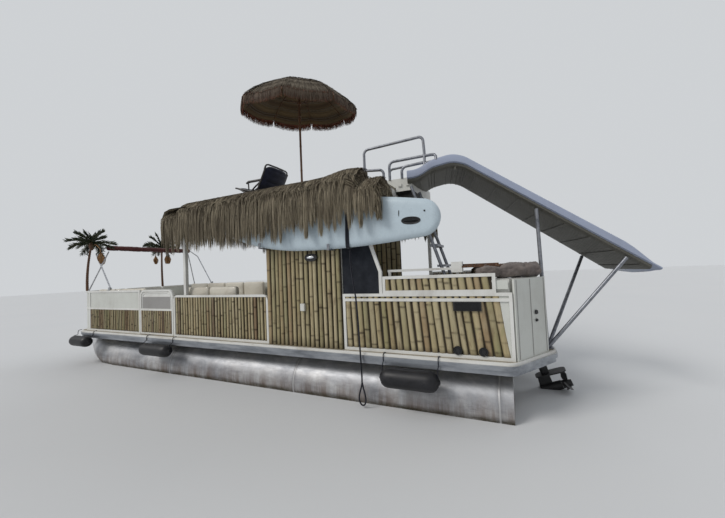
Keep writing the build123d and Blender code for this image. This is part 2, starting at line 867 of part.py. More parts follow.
def thatch_section(station, drop):
    """The hanging skirt's section: it lies on the deck's edge and falls outside the hull."""
    top = roof_top + seat_gap - drop
    with BuildSketch(Plane.YZ.offset(at(station))) as face:
        with BuildLine():
            Polyline((1000, top), (roof_half_width + 20, top), (1325, top - 110), (1335, thatch_bottom))
            Line((1335, thatch_bottom), (thatch_reach, thatch_bottom))
            Line((thatch_reach, thatch_bottom), (thatch_reach - 12, top - 180))
            ThreePointArc((thatch_reach - 12, top - 180), (1330, top + 60), (1180, thatch_crest - drop - 15))
            Line((1180, thatch_crest - drop - 15), (1000, thatch_crest - drop))
            Line((1000, thatch_crest - drop), (1000, top))
        make_face()
    return face.sketch


with BuildPart() as thatch_side:
    extrude(thatch_section(thatch_aft, 0), amount=thatch_fore - thatch_aft)
finish_both(thatch_side, "thatch_sides")

with BuildPart() as awning_side:
    with BuildSketch(Plane.YZ.offset(at(thatch_fore) + 2)):
        low = roof_top + seat_gap
        with BuildLine():
            Polyline((970, low), (1180, low), (1300, 2690), (1310, thatch_bottom))
            Polyline((1310, thatch_bottom), (1390, thatch_bottom), (1375, 2640), (1280, 2840))
            Polyline((1280, 2840), (970, 2900), (970, low))
        make_face()
    extrude(amount=awning_fore - thatch_fore + 60)

with BuildPart() as thatch_front:
    with BuildSketch(Plane.XZ.offset(-roof_half_width + 170)):
        with BuildLine():
            Polyline(
                (at(thatch_fore) + 2, roof_top + 110),
                (at(thatch_fore) + 2, roof_top + seat_gap),
                (at(awning_fore) + 22, roof_top + seat_gap),
                (at(awning_fore) + 22, thatch_bottom),
                (at(awning_fore) + 90, thatch_bottom),
                (at(awning_fore) + 80, roof_top - 40),
                (at(awning_fore) - 20, roof_top + 100),
                (at(thatch_fore) + 2, roof_top + 110),
            )
        make_face()
    extrude(amount=2 * (roof_half_width - 170))
    add(awning_side.part)
    add(mirror(awning_side.part, about=Plane.XZ))
finish(thatch_front, "thatch_front")

# Slide in its own upright plane: S runs down the slide, and Z is up
yaw = math.radians(slide_yaw)
slide_dir = Vector(-math.cos(yaw), -math.sin(yaw), 0)
slide_out = Vector(-math.sin(yaw), math.cos(yaw), 0)
slide_origin = Vector(at(slide_start_station), slide_edge_y, 0)
# The rim's lower line as (distance down the slide, height): entry, crest, kink and lip
back_point = (-260, 2868)
entry_point = (60, 2868)
rise_point = (230, 2965)
crest_point = (470, 3012)
kink_point = (610, 2962)
lip_point = (2440, 1672)
slide_line = (back_point, entry_point, rise_point, crest_point, kink_point, lip_point)


def slide_side(offset_out, drop, rise):
    """The slide's side profile between its lower line moved by drop and by rise."""
    plane = Plane(
        origin=slide_origin + slide_out * offset_out, x_dir=slide_dir, z_dir=slide_dir.cross(Vector(0, 0, 1))
    )
    low = [(s, z + drop) for s, z in slide_line]
    high = [(s, z + rise) for s, z in slide_line]
    with BuildSketch(plane) as face:
        with BuildLine():
            FilletPolyline(*low, radius=slide_bend)
            Line(low[-1], high[-1])
            FilletPolyline(*reversed(high), radius=slide_bend)
            Line(high[0], low[0])
        make_face()
    return face.sketch


def slide_plan(inset):
    """The slide's plan, narrow at the entry and flared to its lip, drawn in the slide's own plane."""
    plane = Plane(origin=slide_origin + Vector(0, 0, 1500), x_dir=slide_dir, z_dir=(0, 0, 1))
    side = 1 if plane.y_dir.dot(slide_out) > 0 else -1
    with BuildSketch(plane) as face:
        Polygon(
            (-300, -side * inset),
            (2600, -side * inset),
            (2600, -side * (slide_width_lip - inset)),
            (-300, -side * (slide_width_top - inset)),
            align=None,
        )
    return face.sketch


with BuildPart() as trough:
    extrude(slide_side(10, slide_floor - 50, slide_rim + 60), amount=-1200)
    extrude(slide_plan(70), amount=2000, mode=Mode.INTERSECT)

with BuildPart() as slide:
    extrude(slide_side(10, 0, slide_rim), amount=-1200)
    extrude(slide_side(10, -50, 0), amount=-1200)
    extrude(slide_plan(0), amount=2000, mode=Mode.INTERSECT)
    add(trough.part, mode=Mode.SUBTRACT)
    split(bisect_by=Plane.YZ.offset(at(1280) - seat_gap), keep=Keep.BOTTOM)
finish(slide, "slide")

platform_low = roof_top + seat_gap
with BuildPart() as slide_platform:
    with BuildSketch(Plane.XY.offset(2745)):
        with Locations((at(1385), 240)):
            Rectangle(210, 960)
    extrude(amount=160)
    with BuildSketch(Plane.XY.offset(platform_low)):
        with Locations((at(1560), 240)):
            Rectangle(150, 960)
    extrude(amount=2905 - platform_low)
finish(slide_platform, "slide_platform")


def slide_point(s, out, drop):
    """A point on the slide's underside: s down it and out from its port edge to starboard."""
    ends = (kink_point, lip_point)
    share = (s - ends[0][0]) / (ends[1][0] - ends[0][0])
    z = ends[0][1] + share * (ends[1][1] - ends[0][1]) - drop
    p = slide_origin + slide_dir * s - slide_out * out
    return (p.X, p.Y, z)


strut_foot = (at(-70), well_half_width + 75, deck_top)
strut_radius = 19
with BuildPart() as slide_struts:
    with BuildSketch(Plane.XY.offset(deck_top)):
        with Locations((strut_foot[0], strut_foot[1])):
            Rectangle(110, 110)
    extrude(amount=12)
    for s, out in ((1330, 30), (2150, 30), (2090, 930)):
        top = slide_point(s, out, 50 + seat_gap + strut_radius)
        add(bar([strut_foot, top], strut_radius))
    bottom = Plane.XY.offset(deck_top)
    split(bisect_by=bottom, keep=Keep.TOP)
finish(slide_struts, "slide_struts")

# Handrail loops of round bar on the platform. Each is a list of (station, height) at one y.
rail_radius = 17
hoop_bend = 60
hoops = [
    (720, [(1640, 2905), (1640, 3050), (1900, 3080), (1900, 3350), (1120, 3370), (1110, 3180)]),
    (720, [(1560, 2905), (1560, 3130), (1120, 3130), (1000, 3125)]),
    (720, [(1400, 2905), (1400, 3040), (1110, 3052)]),
]
with BuildPart() as handrails:
    for y, points in hoops:
        for side_y in (y, y - 960):
            add(bar([(at(s), side_y, z) for s, z in points], rail_radius, hoop_bend))
finish(handrails, "handrails")

# Ladder from the aft deck to the upper deck
ladder_foot = 640
ladder_head = 1240
ladder_rungs = 7
with BuildPart() as ladder:
    for y in (540, 900):
        add(bar([(at(ladder_foot), y, deck_top), (at(ladder_head), y, 2740)], 18))
    for i in range(1, ladder_rungs + 1):
        share = i / (ladder_rungs + 1)
        x = at(ladder_foot + share * (ladder_head - ladder_foot))
        z = deck_top + share * (2740 - deck_top)
        with BuildSketch(Plane.XZ.offset(-900)):
            with Locations((x, z)):
                Rectangle(90, 26)
        extrude(amount=360)
    split(bisect_by=Plane.XY.offset(deck_top), keep=Keep.TOP)
finish(ladder, "ladder")

# Inner rail along the aft deck, with the small box at its end
aft_rail_y = 1040
aft_rail_height = 1770
with BuildPart() as aft_rail:
    with BuildSketch(Plane.XY.offset(deck_top)):
        for station in (748, 1500):
            with Locations((at(station), aft_rail_y)):
                Rectangle(26, 26)
    extrude(amount=aft_rail_height - deck_top)
    with BuildSketch(Plane.YZ.offset(at(760))):
        with Locations((aft_rail_y, aft_rail_height)):
            Rectangle(26, 26)
    extrude(amount=760)
    with BuildSketch(Plane.XY.offset(aft_rail_height - 40)):
        with Locations((at(748), aft_rail_y)):
            RectangleRounded(116, 70, 10)
    extrude(amount=109)
finish(aft_rail, "aft_rail")

# Paddle board on edge, outside the fence and under the thatch: a round tail, two arcs a side, a pointed nose
board_length = 3150
board_thickness = 110
board_half_width = 318
board_tail = (at(850), 1250, 2300)
board_rise = 2.6
tail_reach = 200
tail_half = 200
wide_point = 1700
rail_band = 50
rise = math.radians(board_rise)
board_plane = Plane(origin=board_tail, x_dir=(math.cos(rise), 0, math.sin(rise)), z_dir=(0, -1, 0))


def board_face(offset):
    """The board's outline on a plane parallel to its middle."""
    with BuildSketch(board_plane.offset(offset)) as face:
        with BuildLine():
            ThreePointArc((tail_reach, -tail_half), (0, 0), (tail_reach, tail_half))
            for side in (-1, 1):
                ThreePointArc(
                    (tail_reach, side * tail_half),
                    (1270, side * 306),
                    (wide_point, side * board_half_width),
                )
                ThreePointArc(
                    (wide_point, side * board_half_width),
                    (2300, side * 266),
                    (board_length, 0),
                )
        make_face()
    return face.sketch


with BuildPart() as paddle_board:
    extrude(board_face(0), amount=rail_band / 2, both=True)
    extrude(board_face(rail_band / 2), amount=(board_thickness - rail_band) / 2, taper=40)
    extrude(board_face(-rail_band / 2), amount=-(board_thickness - rail_band) / 2, taper=40)
finish(paddle_board, "paddle_board")


# Brackets on the cabin, as (distance along the board, its half width there, fall of its edge over the bracket)
bracket_rows = [(1270, 306, 0.2), (2300, 266, 3.4)]
with BuildPart() as board_brackets:
    for along, half, fall in bracket_rows:
        edge = board_plane.from_local_coords((along, -half, 0))
        low = edge.Z - fall - seat_gap
        with BuildSketch(Plane.YZ.offset(edge.X - 15)):
            with BuildLine():
                Polyline(
                    (1181, low),
                    (1320, low),
                    (1320, low + 60),
                    (1332, low + 60),
                    (1332, low - 12),
                    (1181, low - 12),
                    (1181, low),
                )
            make_face()
        extrude(amount=30)
finish(board_brackets, "board_brackets")

# Mooring line: a limp rope from under the board, past the rails, to a loop just above the water
line_diameter = 18
line_route = [
    (at(1892), 1250, 2055),
    (at(1889), 1254, 1880),
    (at(1868), 1259, 1690),
    (at(1838), 1262, 1510),
    (at(1822), 1264, 1300),
    (at(1815), 1262, 1080),
    (at(1807), 1266, 870),
    (at(1803), 1264, 690),
    (at(1800), 1262, 570),
    (at(1812), 1260, 500),
    (at(1838), 1260, 432),
    (at(1848), 1261, 364),
    (at(1832), 1263, 316),
    (at(1802), 1266, 298),
    (at(1772), 1270, 314),
    (at(1756), 1275, 362),
    (at(1762), 1280, 432),
    (at(1782), 1283, 500),
    (at(1790), 1284, 560),
]


def route_radii(points):
    """The largest arc that fits each corner of a route of straight runs."""
    corners = [Vector(*p) for p in points]
    radii = []
    for before, corner, after in zip(corners, corners[1:], corners[2:]):
        turn = math.radians((corner - before).get_angle(after - corner))
        shorter = min((corner - before).length, (after - corner).length)
        radii.append(0.45 * shorter / math.tan(turn / 2))
    return radii


line_radii = route_radii(line_route)
print("mooring line radii", [round(r) for r in line_radii])
with BuildPart() as mooring_line:
    with BuildLine() as route:
        FilletPolyline(*line_route, radius=line_radii)
    with BuildSketch(Plane(origin=route.line @ 0, z_dir=route.line % 0)):
        Circle(line_diameter / 2)
    sweep()
finish(mooring_line, "mooring_line")
print("mooring line length", round(route.wires()[0].length), "volume", round(mooring_line.part.volume))

# Umbrella on the upper deck
umbrella_station = 3190
umbrella_y = 300
umbrella_radius = 915
umbrella_joint = 4300
umbrella_tilt = 10.5
umbrella_turn = 128
umbrella_rim = 120
umbrella_apex = 490
tilt_sine = math.sin(math.radians(umbrella_tilt))
tilt_along = (math.cos(math.radians(umbrella_turn)), math.sin(math.radians(umbrella_turn)))
tilted = Plane(
    origin=(at(umbrella_station), umbrella_y, umbrella_joint),
    x_dir=(tilt_along[1], -tilt_along[0], 0),
    z_dir=(tilt_sine * tilt_along[0], tilt_sine * tilt_along[1], math.cos(math.radians(umbrella_tilt))),
)
with BuildPart() as umbrella_pole:
    with BuildSketch(Plane.XY.offset(roof_top)):
        with Locations((at(umbrella_station), umbrella_y)):
            Circle(110)
    extrude(amount=40)
    with BuildSketch(Plane.XY.offset(roof_top)):
        with Locations((at(umbrella_station), umbrella_y)):
            Circle(17)
    extrude(amount=umbrella_joint - roof_top)
    with BuildSketch(tilted):
        Circle(17)
    extrude(amount=umbrella_apex + 30)
    with BuildSketch(tilted.offset(umbrella_apex + 0.15)):
        Circle(28)
    extrude(amount=30)
    with Locations((at(umbrella_station), umbrella_y, umbrella_joint)):
        Sphere(26)
finish(umbrella_pole, "umbrella_pole")

canopy_sphere = (umbrella_radius**2 + (umbrella_apex - umbrella_rim) ** 2) / (2 * (umbrella_apex - umbrella_rim))
canopy_hole = 19
canopy_thickness = 14
canopy_reaches = (canopy_hole, 240, 480, 700, umbrella_radius)


def canopy_point(reach, sphere):
    """A point of the canopy's half section at a reach from its pole."""
    centre = umbrella_apex - canopy_sphere
    return (reach, centre + math.sqrt(sphere**2 - reach**2))


with BuildPart() as umbrella_canopy:
    outer = canopy_sphere
    inner = canopy_sphere - canopy_thickness
    with BuildSketch(Plane(origin=tilted.origin, x_dir=tilted.x_dir, z_dir=tilted.y_dir * -1)):
        with BuildLine():
            Line(canopy_point(canopy_hole, inner), canopy_point(canopy_hole, outer))
            Polyline(*[canopy_point(reach, outer) for reach in canopy_reaches])
            Line(canopy_point(umbrella_radius, outer), canopy_point(umbrella_radius, inner))
            Polyline(*[canopy_point(reach, inner) for reach in reversed(canopy_reaches)])
        make_face()
    revolve(axis=Axis(tilted.origin, tilted.z_dir))
finish(umbrella_canopy, "umbrella_canopy")

# Low lounger on the upper deck
with BuildPart() as lounger:
    with BuildSketch(Plane.XZ.offset(-950)):
        with BuildLine():
            x = at(3650)
            Polyline(
                (x - 330, roof_top + 600),
                (x - 300, roof_top + 640),
                (x - 120, roof_top + 250),
                (x + 280, roof_top + 330),
                (x + 290, roof_top + 300),
                (x - 140, roof_top + 215),
                (x - 330, roof_top + 600),
            )
        make_face()
    extrude(amount=500)
    for y in (440, 940):
        frame_points = [(at(3330), y, roof_top + 640), (at(3530), y, roof_top + 220), (at(3960), y, roof_top + 320)]
        add(bar(frame_points, 12, 30))
        add(bar([(at(3420), y, roof_top - 20), (at(3880), y, roof_top + 300)], 12))
        add(bar([(at(3900), y, roof_top - 20), (at(3400), y, roof_top + 480)], 12))
    split(bisect_by=Plane.XY.offset(roof_top + seat_gap), keep=Keep.TOP)
finish(lounger, "lounger")

# Palms clamped to the bow rail
palm_trunk_height = 900
frond_reach = 430
palm_rows = [1075, -gate_post_y - tube_square / 2]
with BuildPart() as palms:
    for y in palm_rows:
        crown = fore_top + palm_trunk_height
        with BuildSketch(Plane.XY.offset(fore_top + seat_gap)):
            with Locations((at(bow_fence_station), y)):
                Circle(26)
        extrude(amount=palm_trunk_height, taper=1)
        with BuildSketch(Plane.XY.offset(crown - 60)):
            with Locations((at(bow_fence_station), y)):
                Circle(40)
        extrude(amount=110, taper=-8)
        for i in range(8):
            angle = math.radians(360 / 8 * i + 22.5)
            reach = 1 / math.hypot(math.cos(angle) / 230, math.sin(angle) / frond_reach)
            plane = Plane(
                origin=(at(bow_fence_station), y, crown),
                x_dir=(math.cos(angle), math.sin(angle), 0),
                z_dir=(math.sin(angle), -math.cos(angle), 0),
            )
            with BuildSketch(plane):
                Polygon(
                    (0, 14),
                    (reach * 0.3, 110),
                    (reach * 0.65, 115),
                    (reach, -90),
                    (reach * 0.62, 90),
                    (reach * 0.3, 84),
                    (0, -14),
                    align=None,
                )
            extrude(amount=35, both=True)
finish(palms, "palms")

# Folded sunshade at the bow: side arms on pivots, the rolled boot, and the two props
shade_pivot = (6990, fore_top + 34)
shade_bar = (7500, 2450)
shade_y = 1095
boot_radius = 55
shade_pin = 6
inner_y = 900
with BuildPart() as shade_frame:
    for sign in (-1, 1):
        route = [
            (at(shade_pivot[0]) + 8, sign * shade_y, shade_pivot[1] + 11),
            (at(shade_bar[0]) - 40, sign * shade_y, shade_bar[1] - 130),
            (at(shade_bar[0]), sign * (inner_y + 16), shade_bar[1]),
        ]
        add(bar(route, 12.5))
        with BuildSketch(Plane.XZ.offset(-sign * shade_y)):
            with Locations((at(shade_pivot[0]), shade_pivot[1])):
                Circle(21)
        extrude(amount=11, both=True)
        with BuildSketch(Plane.XZ.offset(-sign * shade_y)):
            with Locations((at(shade_pivot[0]), shade_pivot[1])):
                Circle(shade_pin + hinge_clearance)
        extrude(amount=30, both=True, mode=Mode.SUBTRACT)
        with BuildSketch(Plane.XZ.offset(-sign * (inner_y + 10))):
            with Locations((at(shade_bar[0]), shade_bar[1])):
                Circle(17)
        extrude(amount=10 - seat_gap, both=True)
finish(shade_frame, "shade_frame")

with BuildPart() as shade_boot:
    with BuildSketch(Plane.XZ.offset(-inner_y + seat_gap)):
        with Locations((at(shade_bar[0]), shade_bar[1])):
            Circle(boot_radius)
    extrude(amount=2 * (inner_y - seat_gap))
finish(shade_boot, "shade_boot")

with BuildPart() as shade_mounts:
    for sign in (-1, 1):
        with BuildSketch(Plane.XY.offset(fore_top + seat_gap)):
            with Locations((at(shade_pivot[0]), sign * 1132)):
                Rectangle(54, 44)
        extrude(amount=6)
        with BuildSketch(Plane.XY.offset(fore_top + seat_gap)):
            with Locations((at(shade_pivot[0]), sign * 1118)):
                Rectangle(54, 14)
        extrude(amount=58)
        with BuildSketch(Plane.XZ.offset(-sign * shade_y)):
            with Locations((at(shade_pivot[0]), shade_pivot[1])):
                Circle(shade_pin)
        extrude(amount=17, both=True)
        prop_top = (at(shade_bar[0]), sign * 860, shade_bar[1] - boot_radius - 16)
        add(bar([(at(7650), sign * fence_y, fore_top - 8), prop_top], 11))
    split(bisect_by=Plane.XY.offset(fore_top + seat_gap), keep=Keep.TOP)
finish(shade_mounts, "shade_mounts")

# Benches: bases, seat cushions and back cushions. Rows are (aft, fore, inner y, outer y, back side).
bench_rows = [
    (6090, 7560, 520, 1060, 1),
    (5200, 7560, -1060, -520, -1),
    (3900, 5060, 520, 1060, 1),
    (1200, 2050, -1060, -520, -1),
]
base_height = 330
cushion_height = 110
back_thickness = 130
back_height = 440
with BuildPart() as bench_bases:
    for aft, fore, y_low, y_high, side in bench_rows:
        with BuildSketch(Plane.XY.offset(deck_top)):
            with Locations((at((aft + fore) / 2), (y_low + y_high) / 2)):
                RectangleRounded(fore - aft, y_high - y_low, 60)
        extrude(amount=base_height)
finish(bench_bases, "bench_bases")

with BuildPart() as bench_cushions:
    for aft, fore, y_low, y_high, side in bench_rows:
        with BuildSketch(Plane.XY.offset(deck_top + base_height + seat_gap)):
            shift = -side * back_thickness / 2
            with Locations((at((aft + fore) / 2), (y_low + y_high) / 2 + shift)):
                RectangleRounded(fore - aft, y_high - y_low - back_thickness - 2, 50)
        extrude(amount=cushion_height)
    for aft, fore, y_low, y_high, side in bench_rows:
        outer = y_high if side > 0 else y_low
        with BuildSketch(Plane.XY.offset(deck_top + base_height + seat_gap)):
            with Locations((at((aft + fore) / 2), outer - side * (back_thickness / 2 + 1))):
                RectangleRounded(fore - aft, back_thickness - 2, 40)
        extrude(amount=back_height)
finish(bench_cushions, "bench_cushions")

# Helm: console, wheel and a swivelling chair
helm_station = 4150
helm_y = -800
console_height = 780
wheel_axis_tilt = math.radians(30)
wheel_normal = Vector(-math.cos(wheel_axis_tilt), 0, math.sin(wheel_axis_tilt))
wheel_centre = Vector(at(helm_station) - 300, helm_y, deck_top + console_height - 120)
wheel_plane = Plane(origin=wheel_centre, x_dir=(0, 1, 0), z_dir=wheel_normal)
wheel_shaft = 18
with BuildPart() as helm_console:
    with BuildSketch(Plane.XZ.offset(-helm_y - 290)):
        with BuildLine():
            x = at(helm_station)
            Polyline(
                (x - 180, deck_top),
                (x + 300, deck_top),
                (x + 260, deck_top + console_height),
                (x + 120, deck_top + console_height + 60),
                (x - 200, deck_top + console_height - 120),
                (x - 180, deck_top),
            )
        make_face()
    extrude(amount=580)
    with BuildSketch(wheel_plane):
        Circle(wheel_shaft + hinge_clearance)
    extrude(amount=-170, mode=Mode.SUBTRACT)
finish(helm_console, "helm_console")

with BuildPart() as steering_wheel:
    with BuildSketch(wheel_plane):
        Circle(175)
        Circle(150, mode=Mode.SUBTRACT)
        for turn in (90, 210, 330):
            with Locations(Location((0, 0, 0), (0, 0, turn))):
                with Locations((80, 0)):
                    Rectangle(160, 26)
        Circle(40)
    extrude(amount=10, both=True)
    with BuildSketch(wheel_plane):
        Circle(wheel_shaft)
    extrude(amount=-165)
finish(steering_wheel, "steering_wheel")

chair_station = 3420
chair_spigot = 15
with BuildPart() as chair_pedestal:
    with BuildSketch(Plane.XY.offset(deck_top)):
        with Locations((at(chair_station), helm_y + 60)):
            Circle(160)
    extrude(amount=12)
    with BuildSketch(Plane.XY.offset(deck_top)):
        with Locations((at(chair_station), helm_y + 60)):
            Circle(36)
    extrude(amount=330)
    with BuildSketch(Plane.XY.offset(deck_top)):
        with Locations((at(chair_station), helm_y + 60)):
            Circle(chair_spigot)
    extrude(amount=400)
finish(chair_pedestal, "chair_pedestal")

with BuildPart() as captain_chair:
    with BuildSketch(Plane.XY.offset(deck_top + 330 + seat_gap)):
        with Locations((at(chair_station), helm_y + 60)):
            RectangleRounded(480, 520, 90)
    extrude(amount=140)
    with BuildSketch(Plane.XY.offset(deck_top + 330 + 100)):
        with Locations((at(chair_station) - 190, helm_y + 60)):
            RectangleRounded(110, 520, 50)
    extrude(amount=520)
    with BuildSketch(Plane.XY.offset(deck_top + 330)):
        with Locations((at(chair_station), helm_y + 60)):
            Circle(chair_spigot + hinge_clearance)
    extrude(amount=74, mode=Mode.SUBTRACT)
finish(captain_chair, "captain_chair")

# Fenders hung outside the rub rail, as (station, length, radius, height of axis)
fender_rows = [(1250, 640, 105, 650), (5375, 700, 95, 680), (7560, 560, 95, 700)]
rail_foot = deck_bottom - rail_depth
rail_face = deck_half_beam + rail_thickness
line_radius = 5
with BuildPart() as fenders:
    for station, length, radius, height in fender_rows:
        drop = rail_foot - height
        y = rail_face + seat_gap + math.sqrt(max(radius**2 - max(drop, 0) ** 2, 1))
        with BuildSketch(Plane.YZ.offset(at(station) - length / 2)):
            with Locations((y, height)):
                Circle(radius)
        extrude(amount=length)
        for end in (-1, 1):
            x = at(station) + end * (length / 2 - 30)
            route = [
                (x, y, height + radius - 12),
                (x, rail_face + 20, deck_bottom - 10),
                (x, rail_face + 20, deck_top - 20),
                (x, rail_face + 6, deck_top + line_radius + seat_gap),
                (x, deck_half_beam - 25, deck_top + line_radius + seat_gap),
            ]
            add(bar(route, line_radius))
finish_both(fenders, "fenders")

# Lockers behind the stern corners, and the cover rolled up on the port one
locker_height = stern_corner_height
with BuildPart() as stern_locker:
    with BuildSketch(Plane.XY.offset(deck_top)):
        Polygon((at(560), 1110), (at(262), 1110), (at(60), 760), (at(60), 512), (at(560), 512), align=None)
    extrude(amount=locker_height)
finish_both(stern_locker, "stern_lockers")

roll_length = 700
roll_direction = Vector(-0.75, -0.4, 0).normalized()
roll_start = Vector(at(600), 980, deck_top + locker_height + 78 + seat_gap)
with BuildPart() as cover_roll:
    with BuildSketch(Plane(origin=roll_start, x_dir=roll_direction.cross(Vector(0, 0, 1)), z_dir=roll_direction)):
        Ellipse(110, 78)
    extrude(amount=roll_length)
finish(cover_roll, "cover_roll")

box_station = 1500
box_y = -150
box_size = (620, 380)
box_height = 330
box_hinges = [
    Plane(
        origin=(at(box_station) + x, box_y - box_size[1] / 2 - hinge_stand_off, deck_top + box_height),
        x_dir=(0, 0, 1),
        z_dir=(-1, 0, 0),
    )
    for x in (-140, 220)
]
with BuildPart() as cool_box:
    with BuildSketch(Plane.XY.offset(deck_top)):
        with Locations((at(box_station), box_y)):
            RectangleRounded(*box_size, 30)
            RectangleRounded(box_size[0] - 70, box_size[1] - 70, 20, mode=Mode.SUBTRACT)
    extrude(amount=box_height)
    with BuildSketch(Plane.XY.offset(deck_top)):
        with Locations((at(box_station), box_y)):
            RectangleRounded(*box_size, 30)
    extrude(amount=40)
    for plane in box_hinges:
        add(hinge_fixed(plane))
finish(cool_box, "cool_box")

with BuildPart() as cool_box_lid:
    with BuildSketch(Plane.XY.offset(deck_top + box_height + seat_gap)):
        with Locations((at(box_station), box_y)):
            RectangleRounded(*box_size, 30)
    extrude(amount=50)
    for plane in box_hinges:
        add(hinge_moving(plane))
finish(cool_box_lid, "cool_box_lid")

# Small fittings on the port side: vent, two round ports, lamp and box on the cabin
fence_face = fence_y + panel_backing + seat_gap
cabin_face = fence_y + 2 * cabin_backing + 2 * seat_gap
with BuildPart() as side_fittings:
    with BuildSketch(Plane.XZ.offset(-fence_face - 12)):
        with Locations((at(655), 1388)):
            Rectangle(270, 92)
        for station in (766, 522):
            with Locations((at(station), 948)):
                Circle(42)
    extrude(amount=12)
    with BuildSketch(Plane.XZ.offset(-cabin_face - 30)):
        with Locations((at(2462), 1975)):
            Ellipse(90, 48)
        with Locations((at(2611), 1364)):
            Rectangle(60, 90)
    extrude(amount=30)
finish(side_fittings, "side_fittings")

# Dark mesh screen aft of the cabin, with the bent brace beside it
with BuildPart() as mesh_screen:
    with BuildSketch(Plane.XZ.offset(-fence_y + 6)):
        Polygon(
            (at(2060), fence_top + seat_gap),
            (at(2060), roof_bottom),
            *[(at(station) + brace_width + seat_gap, height) for station, height in reversed(brace_points)],
            align=None,
        )
    extrude(amount=6)
finish(mesh_screen, "mesh_screen")
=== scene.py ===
import bpy
import math
import random
from mathutils import Matrix, Vector, noise


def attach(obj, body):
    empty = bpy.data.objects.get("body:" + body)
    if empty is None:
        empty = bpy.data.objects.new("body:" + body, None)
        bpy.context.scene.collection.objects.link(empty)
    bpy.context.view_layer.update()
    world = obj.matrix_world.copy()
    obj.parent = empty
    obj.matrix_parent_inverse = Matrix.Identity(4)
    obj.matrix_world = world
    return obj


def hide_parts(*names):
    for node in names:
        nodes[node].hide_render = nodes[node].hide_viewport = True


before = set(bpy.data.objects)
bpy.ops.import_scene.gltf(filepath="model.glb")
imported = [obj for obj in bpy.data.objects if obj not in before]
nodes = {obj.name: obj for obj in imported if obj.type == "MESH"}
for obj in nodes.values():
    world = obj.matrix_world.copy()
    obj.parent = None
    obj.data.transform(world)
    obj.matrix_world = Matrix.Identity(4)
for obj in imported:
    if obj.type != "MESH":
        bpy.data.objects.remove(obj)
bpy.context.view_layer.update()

scene = bpy.context.scene
scene.view_settings.view_transform = "Standard"
rng = random.Random(11)

# Camera, fitted to the photograph
PHOTO_WIDTH = 725
FOCAL_PIXELS = 320.855
SENSOR = 36
CAMERA_PLACE = (-3.251, 4.497, 1.796)
yaw, pitch, roll = -1.132, 0.034, -0.043
forward = Vector((math.cos(yaw) * math.cos(pitch), math.sin(yaw) * math.cos(pitch), math.sin(pitch)))
level = Vector((math.sin(yaw), -math.cos(yaw), 0))
lift = level.cross(forward)
right = math.cos(roll) * level + math.sin(roll) * lift
up = math.cos(roll) * lift - math.sin(roll) * level
lens = bpy.data.cameras.new("view")
lens.sensor_width = SENSOR
lens.sensor_fit = "HORIZONTAL"
lens.lens = SENSOR * FOCAL_PIXELS / PHOTO_WIDTH
lens.clip_end = 200
camera = bpy.data.objects.new("view", lens)
turned = Matrix((right, up, -forward)).transposed().to_4x4()
camera.matrix_world = Matrix.Translation(CAMERA_PLACE) @ turned
scene.collection.objects.link(camera)
scene.camera = camera

WATERLINE = 0.27
FLOOR_REACH = 60
FENCE_Y = 1.14
FENCE_AFT, FENCE_FORE = 240, 7597
AFT_POST = 2063
POST_CLEAR = 33
BACKING_IN, BACKING_OUT = 1.127, 1.131
PANEL_FOOT, AFT_HEAD, PANEL_HEAD, FORE_HEAD = 905, 1490, 1489, 1271
STEP_FOOT, STEP_HEAD = 1555, 1680
CABIN_AFT, CABIN_FORE = 2071, 3196
CABIN_FOOT, CABIN_HEAD = 0.874, 2.688
CABIN_INSIDE, CABIN_SPAN = 0.19, 0.918
SKIN_Y = 1.1603
SKIN_OUT = 0.0195
CULM_DEPTH = 0.0185
TALL_GAP = 0.27
SCREEN_Y, SCREEN_FOOT = -1.128, 1.53
GATE_AFT, GATE_FORE = 5181, 5971
THATCH_FORE, STEP_AFT, THATCH_AFT = 4650, 1750, 1500


def at(station):
    """X in metres of a station in millimetres."""
    return (station - 3465) / 1000


def pt(station, y, z):
    """A point from millimetres."""
    return Vector((at(station), y / 1000, z / 1000))


def above(z):
    """A step straight up."""
    return Vector((0, 0, z))


def turns(count, closed=False):
    """The angles of equal steps round a circle. A closed row repeats the first one."""
    return [2 * math.pi * j / count for j in range(count + closed)]


def power(value, exponent):
    """A power that keeps the sign, to square off a sine or a cosine."""
    return math.copysign(abs(value) ** exponent, value)


def srgb(colour):
    """Linear colour of an 8-bit screen colour."""
    shares = [c / 255 for c in colour]
    return tuple(c / 12.92 if c <= 0.0404 else ((c + 0.055) / 1.055) ** 2.4 for c in shares) + (1,)


# Materials
looks = {}


